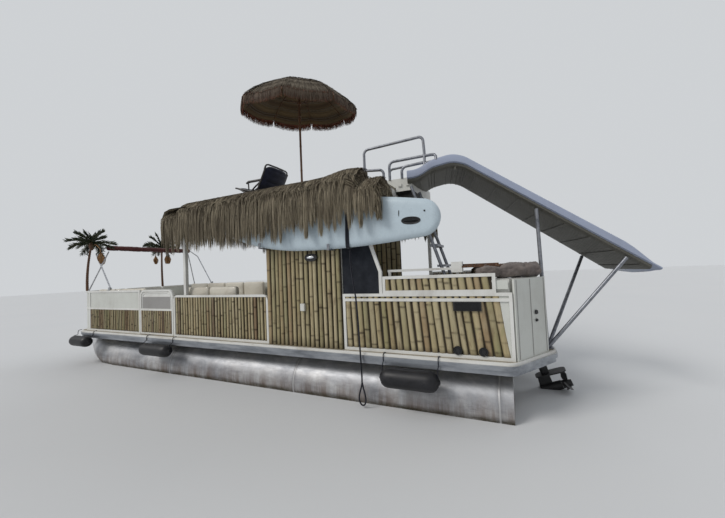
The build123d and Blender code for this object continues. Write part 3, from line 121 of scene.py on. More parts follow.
class Look:
    """A node material built round one Principled shader. Its colours are 8-bit screen colours."""

    def __init__(self, name, colour, rough=0.5, metal=0.0, **inputs):
        self.material = bpy.data.materials.new(name)
        self.material.use_nodes = True
        self.tree = self.material.node_tree
        self.shader = self.tree.nodes["Principled BSDF"]
        self.normal = None
        self.feed(self.shader, Base_Color=colour, Roughness=rough, Metallic=metal, **inputs)
        looks[name] = self

    def put(self, socket, value):
        """Gives an input another node's output, a number or a colour."""
        if isinstance(value, bpy.types.NodeSocket):
            self.tree.links.new(value, socket)
        else:
            socket.default_value = srgb(value) if socket.type == "RGBA" else value

    def feed(self, node, **inputs):
        for key, value in inputs.items():
            self.put(node.inputs[key.replace("_", " ")], value)

    def node(self, kind, **inputs):
        made = self.tree.nodes.new("ShaderNode" + kind)
        self.feed(made, **inputs)
        return made

    def place(self, stretch=(1, 1, 1)):
        where = self.node("TexCoord").outputs["Object"]
        return self.node("Mapping", Vector=where, Scale=stretch).outputs["Vector"]

    def noise(self, scale, stretch=(1, 1, 1), detail=4.0, rough=0.6, swirl=0.0):
        where = self.place(stretch)
        made = self.node("TexNoise", Vector=where, Scale=scale, Detail=detail, Roughness=rough)
        made.inputs["Distortion"].default_value = swirl
        return made.outputs["Fac"]

    def wave(self, scale, axis, distort=0.0):
        made = self.node("TexWave", Vector=self.place(), Scale=scale, Distortion=distort)
        made.bands_direction = axis
        return made.outputs["Fac"]

    def cells(self, scale):
        return self.node("TexVoronoi", Vector=self.place(), Scale=scale).outputs["Distance"]

    def axis(self, letter):
        return self.node("SeparateXYZ", Vector=self.place()).outputs[letter]

    def tone(self, channel):
        """A channel of the mesh's own tone attribute."""
        read = self.node("Attribute")
        read.attribute_name = "tone"
        if channel == "Alpha":
            return read.outputs["Alpha"]
        return self.node("SeparateColor", Color=read.outputs["Color"]).outputs[channel]

    def remap(self, value, low, high, out_low=0.0, out_high=1.0):
        made = self.node("MapRange", From_Min=low, From_Max=high, To_Min=out_low, To_Max=out_high)
        made.clamp = True
        self.put(made.inputs["Value"], value)
        return made.outputs[0]

    def maths(self, operation, a, b):
        made = self.node("Math")
        made.operation = operation
        self.put(made.inputs[0], a)
        self.put(made.inputs[1], b)
        return made.outputs[0]

    def times(self, a, b):
        return self.maths("MULTIPLY", a, b)

    def ramp(self, value, *stops):
        """Colours along a value; each stop is a place and a colour."""
        made = self.node("ValToRGB")
        self.put(made.inputs[0], value)
        marks = made.color_ramp.elements
        while len(marks) < len(stops):
            marks.new(0.5)
        for mark, (place, colour) in zip(marks, stops):
            mark.position = place
            mark.color = srgb(colour)
        return made.outputs[0]

    def mix(self, share, a, b):
        made = self.node("Mix")
        made.data_type = "RGBA"
        for slot, value in ((0, share), (6, a), (7, b)):
            self.put(made.inputs[slot], value)
        return made.outputs[2]

    def colour(self, socket):
        self.feed(self.shader, Base_Color=socket)

    def gloss(self, value, low, high):
        self.feed(self.shader, Roughness=self.remap(value, 0, 1, low, high))

    def bump(self, height, depth, strength=1.0):
        """Adds a relief over those that came before it."""
        made = self.node("Bump", Strength=strength, Distance=depth, Height=height)
        if self.normal is not None:
            self.put(made.inputs["Normal"], self.normal)
        self.normal = made.outputs[0]
        self.feed(self.shader, Normal=self.normal)


def coat(name, base, dirt, rough=0.35, spread=0.12, grime=0.35, metal=0.0, **inputs):
    """A painted or moulded surface: patchy dirt, fine scuffs and a faint unevenness."""
    look = Look(name, base, rough, metal, **inputs)
    patches = look.noise(2.3, detail=6, rough=0.65)
    streaks = look.noise(9, (1, 1, 0.12), detail=5, rough=0.7)
    speck = look.noise(160, detail=2)
    soiled = look.times(look.remap(patches, 0.42, 0.75), look.remap(streaks, 0.35, 0.8, 0.25, 1.0))
    colour = look.mix(look.times(soiled, grime), base, dirt)
    colour = look.mix(look.remap(speck, 0.62, 0.72, 0, 0.25), colour, dirt)
    look.colour(colour)
    look.gloss(look.noise(14, detail=5), rough - spread, rough + spread)
    look.bump(look.noise(60, detail=3), 0.0004, 0.35)
    return look


WELD_START, WELD_PITCH = 0.62, 1.22
CAP_FOOT = 0.8435


def make_looks():
    grime = (108, 96, 80)
    coat("white_paint", (222, 222, 218), grime, 0.32, grime=0.5)
    coat("pale_vinyl", (206, 208, 202), (132, 126, 112), 0.42, grime=0.45)
    coat("grey_vinyl", (150, 148, 146), (96, 90, 84), 0.38, grime=0.5)
    coat("panel_white", (214, 214, 208), grime, 0.34, grime=0.4)
    coat("black_gloss", (18, 18, 20), (62, 62, 62), 0.22, spread=0.08, grime=0.35)
    coat("black_matt", (24, 24, 26), (70, 68, 64), 0.5, grime=0.4)
    coat("dark_tube", (52, 50, 50), (92, 84, 76), 0.4, grime=0.4)
    coat("cooler", (220, 221, 222), (140, 134, 124), 0.3, grime=0.35)
    coat("grip_black", (9, 9, 13), (26, 26, 30), 0.5, grime=0.2)

    # Aluminium tubes: brushed along, blotched, with weld bands, and stained near the water
    look = Look("aluminium", (190, 193, 196), 0.45, 0.62)
    blotch = look.noise(1.6, (1, 1, 2.2), detail=8, rough=0.62, swirl=0.4)
    fine = look.noise(7, (0.5, 1, 2), detail=6, rough=0.7)
    brushed = look.noise(60, (0.03, 1, 1), detail=3)
    drips = look.noise(6, (1, 1, 0.08), detail=5, rough=0.75)
    height = look.axis("Z")
    colour = look.ramp(
        blotch,
        (0.25, (128, 132, 138)),
        (0.45, (176, 178, 182)),
        (0.6, (208, 209, 210)),
        (0.8, (160, 163, 168)),
    )
    colour = look.mix(look.remap(fine, 0.5, 0.75, 0, 0.5), colour, (120, 122, 128))
    stain = look.times(look.remap(height, 0.56, WATERLINE), look.remap(drips, 0.3, 0.62))
    colour = look.mix(stain, colour, (104, 84, 70))
    scum = look.times(look.remap(height, 0.335, 0.29), look.remap(fine, 0.35, 0.6, 0.4, 1.0))
    colour = look.mix(scum, colour, (70, 66, 54))
    bands = look.maths("PINGPONG", look.maths("ADD", look.axis("X"), WELD_START), WELD_PITCH)
    weld = look.remap(bands, 0.012, 0.004)
    halo = look.remap(bands, 0.05, 0.0, 0, 0.5)
    colour = look.mix(halo, colour, (110, 108, 110))
    colour = look.mix(look.times(weld, 0.6), colour, (205, 205, 205))
    look.colour(colour)
    look.gloss(look.maths("ADD", look.times(fine, 0.6), look.times(stain, 0.5)), 0.36, 0.74)
    look.bump(brushed, 0.0006, 0.3)
    look.bump(blotch, 0.006, 0.5)
    look.bump(weld, 0.004, 0.8)

    # Rub rail: painted cap over a grey aluminium fairing
    look = Look("deck_edge", (200, 200, 198), 0.35)
    height = look.axis("Z")
    cap = look.remap(height, CAP_FOOT, CAP_FOOT + 0.001)
    worn = look.noise(5, (0.4, 1, 2), detail=7, rough=0.7)
    metal = look.ramp(worn, (0.3, (112, 116, 122)), (0.55, (158, 162, 168)), (0.75, (186, 188, 190)))
    paint = look.ramp(worn, (0.3, (176, 170, 158)), (0.5, (216, 215, 210)), (0.8, (226, 226, 224)))
    look.colour(look.mix(cap, metal, paint))
    look.put(look.shader.inputs["Metallic"], look.remap(cap, 0, 1, 0.8, 0.0))
    look.gloss(worn, 0.24, 0.5)
    look.bump(look.noise(70, (0.05, 1, 1)), 0.0005, 0.3)

    # Bright bent tube
    look = Look("bright_tube", (188, 190, 194), 0.26, 0.9)
    spots = look.noise(30, detail=5, rough=0.7)
    look.colour(look.ramp(spots, (0.35, (150, 152, 156)), (0.55, (196, 198, 202)), (0.85, (140, 134, 126))))
    look.gloss(spots, 0.16, 0.45)
    look.bump(look.noise(220, (1, 1, 0.1)), 0.0003, 0.3)

    # Weathered grey tube of the upper rails and the slide's legs
    look = Look("grey_tube", (132, 134, 140), 0.36, 0.75)
    spots = look.noise(24, detail=6, rough=0.7)
    tint = look.ramp(spots, (0.35, (98, 100, 106)), (0.55, (140, 143, 150)), (0.8, (112, 104, 96)))
    look.colour(look.mix(look.remap(look.noise(2.5, detail=4), 0.5, 0.7, 0, 0.5), tint, (168, 170, 174)))
    look.gloss(spots, 0.24, 0.55)
    look.bump(look.noise(220, (1, 1, 0.1)), 0.0003, 0.3)

    # Bamboo: red is the joint ring, green a random number per culm, blue the height, alpha the culm's side,
    # darkened as painted shade
    look = Look("bamboo", (170, 158, 120), 0.45, Specular_IOR_Level=0.35)
    chance = look.tone("Green")
    cane = look.ramp(
        chance,
        (0.0, (176, 164, 128)),
        (0.16, (190, 176, 138)),
        (0.32, (156, 148, 108)),
        (0.5, (184, 166, 126)),
        (0.66, (146, 140, 96)),
        (0.8, (170, 148, 108)),
        (0.92, (128, 100, 68)),
        (1.0, (96, 70, 48)),
    )
    streak = look.noise(26, (3, 3, 0.16), detail=6, rough=0.7)
    mottle = look.noise(9, (1.4, 1.4, 0.5), detail=6, rough=0.65, swirl=0.6)
    broad = look.noise(2.2, detail=4)
    cane = look.mix(look.remap(streak, 0.5, 0.78, 0, 0.6), cane, (112, 88, 58))
    cane = look.mix(look.remap(mottle, 0.54, 0.7, 0, 0.7), cane, (104, 80, 52))
    cane = look.mix(look.remap(mottle, 0.44, 0.32, 0, 0.45), cane, (136, 140, 92))
    cane = look.mix(look.remap(broad, 0.5, 0.68, 0, 0.35), cane, (198, 186, 152))
    cane = look.mix(0.2, cane, (138, 132, 120))
    cane = look.mix(look.remap(look.tone("Blue"), 0.0, 0.07, 0.6, 0.0), cane, (66, 54, 38))
    smudge = look.times(look.remap(look.tone("Red"), 0.1, 0.95), look.remap(mottle, 0.36, 0.52, 0.35, 1))
    cane = look.mix(look.times(smudge, 0.85), cane, (52, 38, 24))
    # Painted shade: each culm darker toward its two sides
    cane = look.mix(look.remap(look.tone("Alpha"), 0.35, 1.0, 0, 0.72), cane, (44, 36, 22))
    look.colour(cane)
    look.gloss(mottle, 0.34, 0.62)
    look.bump(look.noise(90, (2, 2, 0.06), detail=3), 0.0007, 0.4)

    look = Look("shadow_board", (44, 36, 26), 0.8)
    look.colour(look.ramp(look.noise(20, (1, 1, 0.2)), (0.3, (30, 25, 18)), (0.7, (66, 54, 38))))

    # Thatch: green is a random number per wisp, blue runs from root to tip. The darker copies for the
    # thatch's inside and the umbrella's underside are painted shade
    for name, tints in (
        ("thatch", ((44, 39, 32), (100, 91, 76), (136, 126, 106), (164, 153, 131), (66, 58, 47))),
        ("thatch_shaded", ((48, 41, 32), (70, 60, 45), (90, 78, 60), (64, 54, 40), (42, 36, 28))),
        ("raffia", ((88, 80, 69), (107, 98, 85), (128, 118, 103), (78, 70, 60), (98, 88, 75))),
        ("raffia_edge", ((82, 70, 60), (102, 88, 76), (121, 106, 92), (70, 58, 50), (92, 78, 68))),
        ("raffia_fringe", ((112, 64, 50), (138, 84, 66), (160, 108, 86), (92, 54, 44), (124, 78, 62))),
        ("raffia_shaded", ((56, 43, 29), (76, 60, 42), (106, 90, 64), (50, 38, 26), (66, 52, 36))),
    ):
        look = Look(name, tints[1], 0.78, Specular_IOR_Level=0.25)
        straw = look.ramp(look.tone("Green"), *((i / 4, tint) for i, tint in enumerate(tints)))
        along = look.tone("Blue")
        # Painted shade: each reed darker toward its root, where it lies under the layer above
        root = 0.75 if name == "raffia" else 0.45
        straw = look.mix(look.remap(along, 0.0, 0.35, root, 0.0), straw, (58, 48, 38))
        if name == "thatch":
            straw = look.mix(look.remap(along, 0.75, 1.0, 0.0, 0.35), straw, tints[3])
        straw = look.mix(look.remap(look.noise(3.0, detail=5), 0.45, 0.7, 0, 0.5), straw, (76, 66, 54))
        look.colour(straw)
        look.bump(look.noise(150, (1, 1, 0.1)), 0.0008, 0.5)

    # Slide gelcoat, and its moulded underside: beige-grey of its own and made darker as painted shade
    coat("gelcoat", (158, 167, 188), (112, 112, 120), 0.3, grime=0.5)
    look = coat("gelcoat_shaded_under", (94, 92, 84), (64, 62, 56), 0.6, grime=0.55)
    look.bump(look.wave(14, "X", distort=0.4), 0.003, 0.4)
    coat("board_skin", (190, 205, 214), (140, 146, 148), 0.28, grime=0.35)

    # Woven and sewn cloths
    for name, base, worn, weave in (
        ("canvas", (106, 98, 95), (146, 136, 128), 520),
        ("boot_cloth", (74, 34, 34), (112, 66, 58), 640),
        ("chair_cloth", (24, 28, 44), (58, 62, 82), 600),
        ("webbing", (16, 18, 28), (52, 54, 66), 420),
        ("mesh_cloth", (22, 26, 34), (48, 52, 60), 300),
    ):
        look = Look(name, base, 0.85, Sheen_Weight=0.25, Specular_IOR_Level=0.2)
        thread = look.times(look.wave(weave / 6.28, "X"), look.wave(weave / 6.28, "Z"))
        fade = look.noise(5, detail=6, rough=0.7)
        look.colour(look.mix(look.remap(fade, 0.45, 0.75, 0, 0.7), base, worn))
        look.bump(thread, 0.0006, 0.5)
        look.bump(look.noise(12, detail=5), 0.004, 0.4)

    look = Look("seat_vinyl", (204, 198, 184), 0.45, Coat_Weight=0.1)
    grain = look.cells(420)
    soil = look.noise(4, detail=6)
    look.colour(look.mix(look.remap(soil, 0.45, 0.75, 0, 0.5), (208, 203, 190), (164, 154, 136)))
    look.gloss(soil, 0.36, 0.6)
    look.bump(grain, 0.0006, 0.35)
    look.bump(look.noise(8, detail=4), 0.005, 0.35)

    look = Look("fender_rubber", (22, 22, 24), 0.42, Specular_IOR_Level=0.4)
    scuff = look.noise(11, (0.5, 1, 1), detail=7, rough=0.7)
    look.colour(look.ramp(scuff, (0.4, (18, 18, 21)), (0.6, (34, 34, 38)), (0.8, (74, 72, 72))))
    look.gloss(scuff, 0.3, 0.65)
    look.bump(look.noise(40, detail=4), 0.001, 0.4)

    look = Look("deck_board", (150, 142, 126), 0.8)
    plank = look.noise(5, detail=6)
    look.colour(look.ramp(plank, (0.3, (122, 114, 100)), (0.6, (156, 148, 132)), (0.8, (174, 166, 150))))
    look.bump(look.cells(170), 0.0012, 0.5)

    look = Look("dark_wood", (86, 58, 38), 0.55)
    grain = look.noise(14, (3, 3, 0.3), detail=6, rough=0.7, swirl=1.2)
    look.colour(look.ramp(grain, (0.3, (60, 38, 24)), (0.55, (98, 66, 42)), (0.8, (128, 92, 60))))
    look.bump(grain, 0.001, 0.5)

    for name, tints in (
        ("frond", ((26, 33, 24), (42, 52, 33), (68, 72, 46), (48, 39, 29))),
        ("husk", ((98, 68, 40), (130, 92, 52), (154, 114, 68), (80, 55, 34))),
    ):
        look = Look(name, tints[1], 0.6)
        stops = [(0.3 + 0.14 * i, tint) for i, tint in enumerate(tints)]
        look.colour(look.ramp(look.noise(16, detail=5), *stops))
        look.bump(look.noise(70, detail=4), 0.001, 0.5)

    look = Look("lamp_glass", (236, 240, 244), 0.1, Transmission_Weight=0.2, Coat_Weight=0.6)
    look.colour(look.mix(look.cells(260), (240, 243, 246), (190, 198, 206)))


make_looks()


# Meshes
class Shape:
    """Gathers vertices, faces and a tone for each vertex, and makes one object of them."""

    def __init__(self):
        self.points = []
        self.faces = []
        self.tones = []

    def add(self, points, faces, tones=None):
        """Takes up points, the faces between them and their tones."""
        start = len(self.points)
        self.points.extend(points)
        self.faces.extend([tuple(i + start for i in face) for face in faces])
        self.tones.extend(tones if tones is not None else [(0, 0, 0, 1)] * len(points))

    def rings(self, rings, tones=None, cap=True):
        """Skins a row of rings that all have the same number of points."""
        count = len(rings[0])
        points = [p for ring in rings for p in ring]
        faces = []
        for i in range(len(rings) - 1):
            for j in range(count):
                k = (j + 1) % count
                faces.append((i * count + j, i * count + k, (i + 1) * count + k, (i + 1) * count + j))
        if cap:
            faces.append(tuple(reversed(range(count))))
            faces.append(tuple(range((len(rings) - 1) * count, len(rings) * count)))
        if tones and not isinstance(tones[0], list):
            tones = [[t] * count for t in tones]
        self.add(points, faces, [t for ring in tones for t in ring] if tones else None)

    def tube(self, path, radii, sides=10, tones=None, cap=True, flat=1.0, side_hint=None):
        """A tube along a path, with one radius or one for each point."""
        if not isinstance(radii, (list, tuple)):
            radii = [radii] * len(path)
        rings = []
        across = None
        for i, p in enumerate(path):
            ahead = path[min(i + 1, len(path) - 1)] - path[max(i - 1, 0)]
            ahead.normalize()
            if across is None:
                across = ahead.cross(side_hint or Vector((0.31, 0.21, 0.93)))
                if across.length < 1e-4:
                    across = ahead.cross(Vector((1, 0, 0)))
            across = (across - ahead * across.dot(ahead)).normalized()
            other = ahead.cross(across)
            wide, deep = across * radii[i], other * radii[i] * flat
            rings.append([p + wide * math.cos(a) + deep * math.sin(a) for a in turns(sides)])
        self.rings(rings, tones, cap)

    def ribbon(self, path, side, widths, tones):
        """A strip one face wide along a path."""
        points = []
        marks = []
        for p, w, t in zip(path, widths, tones):
            points += [p - side * w / 2, p + side * w / 2]
            marks += [t, t]
        self.add(points, [(2 * i, 2 * i + 1, 2 * i + 3, 2 * i + 2) for i in range(len(path) - 1)], marks)

    def box(self, low, high, bevel=0.0):
        """A box with chamfered edges, from its lowest and highest corners."""
        low, high = Vector(low), Vector(high)
        b = min(bevel, *((high - low) / 2.01))
        rings = []
        for z, inset in ((low.z, b), (low.z + b, 0), (high.z - b, 0), (high.z, b)):
            x0, x1, y0, y1 = low.x + inset, high.x - inset, low.y + inset, high.y - inset
            corners = (
                (x0 + b, y0), (x1 - b, y0), (x1, y0 + b), (x1, y1 - b),
                (x1 - b, y1), (x0 + b, y1), (x0, y1 - b), (x0, y0 + b),
            )
            rings.append([Vector((x, y, z)) for x, y in corners])
        self.rings(rings)

    def make(self, name, look, body="boat", replaces=(), smooth=True, sharp=40, slot=None):
        """Makes the object, with its look and the body it rides on. The slot it would be painted by is not
        used.
        """
        mesh = bpy.data.meshes.new(name)
        mesh.from_pydata([tuple(p) for p in self.points], [], self.faces)
        mesh.update()
        layer = mesh.color_attributes.new("tone", "FLOAT_COLOR", "POINT")
        layer.data.foreach_set("color", [c for tone in self.tones for c in tone])
        mesh.materials.append(looks[look].material)
        if smooth:
            mesh.shade_smooth()
            if sharp:
                mesh.set_sharp_from_angle(angle=math.radians(sharp))
        made = bpy.data.objects.new(name, mesh)
        scene.collection.objects.link(made)
        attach(made, body)
        if replaces:
            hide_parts(*replaces)
        return made


def dress(node, look):
    """Gives a CAD node a finished material."""
    target = nodes[node]
    target.data.materials.clear()
    target.data.materials.append(looks[look].material)


# Mooring line, a limp rope from under the board to its loop
LINE = [
    (1892, 1250, 2055), (1889, 1254, 1880), (1868, 1259, 1690), (1838, 1262, 1510), (1822, 1264, 1300),
    (1815, 1262, 1080), (1807, 1266, 870), (1803, 1264, 690), (1800, 1262, 570), (1812, 1260, 500),
    (1838, 1260, 432), (1848, 1261, 364), (1832, 1263, 316), (1802, 1266, 298), (1772, 1270, 314),
    (1756, 1275, 362), (1762, 1280, 432), (1782, 1283, 500), (1790, 1284, 560),
]
curve = bpy.data.curves.new("mooring_rope", "CURVE")
curve.dimensions = "3D"
spline = curve.splines.new("NURBS")
spline.points.add(len(LINE) - 1)
for point, place in zip(spline.points, LINE):
    point.co = (*pt(*place), 1)
spline.use_endpoint_u = True
spline.order_u = 3
spline.resolution_u = 6
curve.bevel_depth = 0.009
curve.bevel_resolution = 3
curve.use_fill_caps = True
curve.materials.append(looks["webbing"].material)
rope = bpy.data.objects.new("mooring_rope", curve)
scene.collection.objects.link(rope)
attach(rope, "boat")
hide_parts("mooring_line")


# Bamboo
def culm(shape, foot, head, radius, depth, gap=0.24):
    """One bamboo culm with its joints, from foot to head. Depth is its half thickness."""
    chance = rng.random()
    length = (head - foot).length
    axis = (head - foot) / length
    levels = [(0.0, 0.98, 0.0)]
    z = rng.uniform(0.03, gap)
    while z < length - 0.03:
        dark = rng.choice((0.15, 0.5, 0.8, 1.0))
        levels += [
            (z - 0.02, 0.985, 0.0), (z - 0.006, 1.02, dark * 0.6), (z, 1.045, dark), (z + 0.005, 0.985, dark),
            (z + 0.011, 1.02, dark * 0.5), (z + 0.026, 0.99, 0.0),
        ]
        z += rng.uniform(0.7, 1.3) * gap
    levels.append((length, 0.98, 0.0))
    levels = [level for level in levels if 0 <= level[0] <= length]
    bend = Vector((rng.uniform(-1, 1), rng.uniform(-0.2, 0.2), 0)) * 0.005
    angles = turns(12)
    # How far each point lies toward the culm's side, for the painted shade there
    side_shades = [(math.cos if radius > depth else math.sin)(a) ** 2 for a in angles]
    rings = []
    tones = []
    for z, wide, ring in levels:
        centre = foot + axis * z + bend * math.sin(math.pi * z / length)
        wobble = (1 + 0.03 * math.sin(z * 9 + chance * 20)) * wide
        x, y = radius * wobble, depth * wobble
        rings.append([centre + Vector((math.cos(a) * x, math.sin(a) * y, 0)) for a in angles])
        tones.append([(ring, chance, z / length, edge) for edge in side_shades])
    shape.rings(rings, tones)


def lean_at(station):
    """How far a culm's head stands ahead of its foot, for each metre of height."""
    share = min(max((AFT_POST - station) / (AFT_POST - FENCE_AFT), 0), 1)
    return math.tan(math.radians(1.2 + 6.6 * share))


def culm_row(shape, aft, fore, low, high, pitch, sign=1, leaning=False, full=0.84, top=None, flat=1.0):
    """A row of culms behind the rails, between two stations. Top gives each culm's own height."""
    count = max(1, round((fore - aft - 2 * POST_CLEAR) / pitch))
    step = (fore - aft - 2 * POST_CLEAR) / count
    radius = step / 2000 * full
    depth = min(radius, 0.019) * flat
    y = sign * (FENCE_Y + 0.0135 - depth * 1.045)
    for i in range(count):
        station = aft + POST_CLEAR + (i + 0.5) * step
        slope = lean_at(station) if leaning else rng.uniform(-0.008, 0.008)
        head_z = top(station + slope * 600) if top else high
        foot = Vector((at(station), y + rng.uniform(-0.002, 0.001) * sign, low / 1000))
        head = foot + Vector((slope + rng.uniform(-0.006, 0.006), 0, 1)) * (head_z - low) / 1000
        head.x = min(head.x, at(fore - POST_CLEAR) - radius * 0.8)
        culm(shape, foot, head, radius * rng.uniform(0.86, 1.1), depth)


def backing(shape, aft, fore, low, high, sign=1):
    """The dark board behind a row of culms, painted shade that shows in the gaps between them."""
    y0, y1 = sorted((sign * BACKING_IN, sign * BACKING_OUT))
    overlap = POST_CLEAR - 0.5
    shape.box((at(aft + overlap), y0, low / 1000), (at(fore - overlap), y1, high / 1000))


def aft_top(station):
    """How high the aft fence's culms stand, in millimetres."""
    return STEP_HEAD if 400 < station < 1530 else AFT_HEAD


back = Shape()
aft_port = Shape()
culm_row(aft_port, FENCE_AFT, AFT_POST, PANEL_FOOT, AFT_HEAD, 75, leaning=True, top=aft_top)
aft_port.make("bamboo_aft_port", "bamboo", replaces=("bamboo_panels",), slot="bamboo")
backing(back, FENCE_AFT, AFT_POST, PANEL_FOOT, AFT_HEAD)
wedge = Shape()
for sign in (1, -1):
    for outline in (
        [(273, 904), (283, 904), (368, 1490), (273, 1490)],
        [(273, 1555), (402, 1555), (418, 1640), (273, 1640)],
    ):
        wedge.rings([[Vector((at(s), sign * y, z / 1000)) for s, z in outline] for y in (1.1315, 1.142)])
wedge.make("aft_plates", "pale_vinyl", slot="white_frame")
backing(back, 380, 1550, STEP_FOOT, STEP_HEAD)

mid_port = Shape()
culm_row(mid_port, 3204, 5133, PANEL_FOOT, PANEL_HEAD, 58, full=0.76)
culm_row(mid_port, 6011, FENCE_FORE, PANEL_FOOT, FORE_HEAD, 48, full=0.62, flat=0.6)
mid_port.make("bamboo_fore_port", "bamboo", slot="bamboo")
backing(back, 3204, 5133, PANEL_FOOT, PANEL_HEAD)
backing(back, 6011, FENCE_FORE, PANEL_FOOT, FORE_HEAD)

starboard = Shape()
culm_row(starboard, FENCE_AFT, 2300, PANEL_FOOT, AFT_HEAD, 75, sign=-1, leaning=True, top=aft_top)
backing(back, FENCE_AFT, 2300, PANEL_FOOT, AFT_HEAD, -1)
for aft, fore in ((2308, 3700), (3708, 5133)):
    culm_row(starboard, aft, fore, PANEL_FOOT, PANEL_HEAD, 62, sign=-1, full=0.76)
    backing(back, aft, fore, PANEL_FOOT, PANEL_HEAD, -1)
culm_row(starboard, 5141, FENCE_FORE, PANEL_FOOT, FORE_HEAD, 48, sign=-1, full=0.62, flat=0.6)
starboard.make("bamboo_starboard", "bamboo", slot="bamboo")
backing(back, 5141, FENCE_FORE, PANEL_FOOT, FORE_HEAD, -1)
backing(back, 380, 1550, STEP_FOOT, STEP_HEAD, -1)
back.make("bamboo_backing", "shadow_board", slot="bamboo")

# Cabin skin: tall culms on its port side and both ends
cabin = Shape()
cabin_back = Shape()
count = 17
step = (CABIN_FORE - CABIN_AFT) / count
for i in range(count):
    station = CABIN_AFT + (i + 0.5) * step
    foot = Vector((at(station), SKIN_Y, CABIN_FOOT))
    head = Vector((at(station) + rng.uniform(-0.006, 0.006), SKIN_Y, CABIN_HEAD))
    culm(cabin, foot, head, step / 2000 * rng.uniform(0.76, 0.9), CULM_DEPTH, gap=TALL_GAP)
count = 14
step = CABIN_SPAN / count
for face_x in (at(CABIN_AFT) - SKIN_OUT, at(CABIN_FORE) + SKIN_OUT):
    for i in range(count):
        y = CABIN_INSIDE + (i + 0.5) * step
        foot = Vector((face_x, y, CABIN_FOOT))
        head = Vector((face_x, y + rng.uniform(-0.005, 0.005), CABIN_HEAD))
        culm(cabin, foot, head, 0.018, step / 2 * rng.uniform(0.76, 0.9), gap=TALL_GAP)
cabin.make("bamboo_cabin", "bamboo", replaces=("cabin_bamboo",), slot="bamboo")
cabin_back.box((at(CABIN_AFT), 1.1405, 0.873), (at(CABIN_FORE), 1.150, CABIN_HEAD))
for x0, x1 in (
    (at(CABIN_AFT) - 0.009, at(CABIN_AFT) - 0.0005), (at(CABIN_FORE) + 0.0005, at(CABIN_FORE) + 0.009),
):
    cabin_back.box((x0, CABIN_INSIDE, 0.873), (x1, CABIN_INSIDE + CABIN_SPAN, CABIN_HEAD))
cabin_back.make("cabin_backing", "shadow_board", slot="bamboo")

# A bamboo screen above the starboard fence, across from the cabin
screen = Shape()
screen_back = Shape()
count = 12
step = (CABIN_FORE - CABIN_AFT) / count
for i in range(count):
    foot = Vector((at(CABIN_AFT + (i + 0.5) * step), SCREEN_Y, SCREEN_FOOT))
    head = foot + Vector((rng.uniform(-0.006, 0.006), 0, 1.155))
    culm(screen, foot, head, step / 2000 * rng.uniform(0.78, 0.92), CULM_DEPTH, gap=TALL_GAP)
screen.make("bamboo_screen", "bamboo", slot="bamboo")
screen_back.box(
    (at(CABIN_AFT), SCREEN_Y - 0.004, SCREEN_FOOT - 0.002), (at(CABIN_FORE), SCREEN_Y + 0.004, CABIN_HEAD),
)
screen_back.make("screen_backing", "shadow_board", slot="bamboo")

# Stern fence slats
SLATS, STERN_HALF = 13, 0.47
stern = Shape()
for i in range(SLATS):
    y = -STERN_HALF + (i + 0.5) * 2 * STERN_HALF / SLATS
    foot = Vector((at(1066) - 0.012, y, 0.906))
    culm(stern, foot, foot + Vector((0, rng.uniform(-0.004, 0.004), 0.582)), 0.015, 0.034)
stern.make("bamboo_stern", "bamboo", slot="bamboo")

# Side gate: fine culms low down, grey window above, inner frame round it
count = 17
gate = Shape()
for i in range(count):
    station = GATE_AFT + (i + 0.5) * (GATE_FORE - GATE_AFT) / count
    foot = Vector((at(station), 1.1535, 0.909))
    culm(gate, foot, foot + above(0.362), 0.0158, 0.0085, gap=0.2)
gate.make("bamboo_gate", "bamboo", "side_gate", slot="bamboo")
gate = Shape()
gate.box((at(5175), 1.1537, 0.9065), (at(5977), 1.1548, 1.2735))
gate.make("gate_backing", "shadow_board", "side_gate", slot="bamboo")
gate = Shape()
gate.box((at(GATE_AFT), 1.1335, 1.304), (at(GATE_FORE), 1.1475, 1.50), 0.002)
gate.make("gate_window", "grey_vinyl", "side_gate", slot="grey_vinyl")


def arch_path(aft, fore, low, high, radius, y, steps=6):
    """An upright loop with two round top corners, open at the foot."""
    path = [pt(aft, y, low)]
    for middle, first in ((aft + radius, math.pi), (fore - radius, math.pi / 2)):
        for i in range(steps + 1):
            a = first - i * math.pi / 2 / steps
            path.append(pt(middle + radius * math.cos(a), y, high - radius + radius * math.sin(a)))
    path.append(pt(fore, y, low))
    return path


arch = Shape()
arch.tube(arch_path(5205, 5947, 1306, 1560, 90, 1143), 0.011, 8)
arch.make("gate_inner_frame", "white_paint", "side_gate", slot="white_frame")


# Thatch, laid in clumps of reeds whose tips gather into tufts
CLUMP = 11
TUFT = 0.064
CREST, LOW_CREST, FORE_CREST = 2.955, 2.85, 2.892
LOWEST = 2.10
CORE_FOOT, CORE_RISE = 2.6, 0.335
SKIRT_LENGTH = (THATCH_FORE - STEP_AFT) / 1000


def wisp(shape, spine, side, width, tint, steps=5, curl=0.0):
    """One reed: a tapering strip along a smooth line through the spine's points."""
    path, widths, tones = [], [], []
    count = len(spine) - 1
    for i in range(steps + 1):
        t = i / steps * count
        k = min(int(t), count - 1)
        a, b, c, d = spine[max(k - 1, 0)], spine[k], spine[k + 1], spine[min(k + 2, count)]
        u = t - k
        bent = 2 * a - 5 * b + 4 * c - d
        twisted = 3 * b - a - 3 * c + d
        p = 0.5 * (2 * b + (c - a) * u + bent * u * u + twisted * u * u * u)
        share = i / steps
        path.append(p)
        widths.append(width * (1 - 0.82 * share**1.6))
        tones.append((0, tint, share, 1))
    turn = Matrix.Rotation(curl, 3, (spine[-1] - spine[0]).normalized())
    shape.ribbon(path, turn @ side, widths, tones)


def swell(x):
    """How much the crest rises near its aft step."""
    height, middle, reach = 0.05, at(1900), 0.22
    return height * math.exp(-(((x - middle) / reach) ** 2))


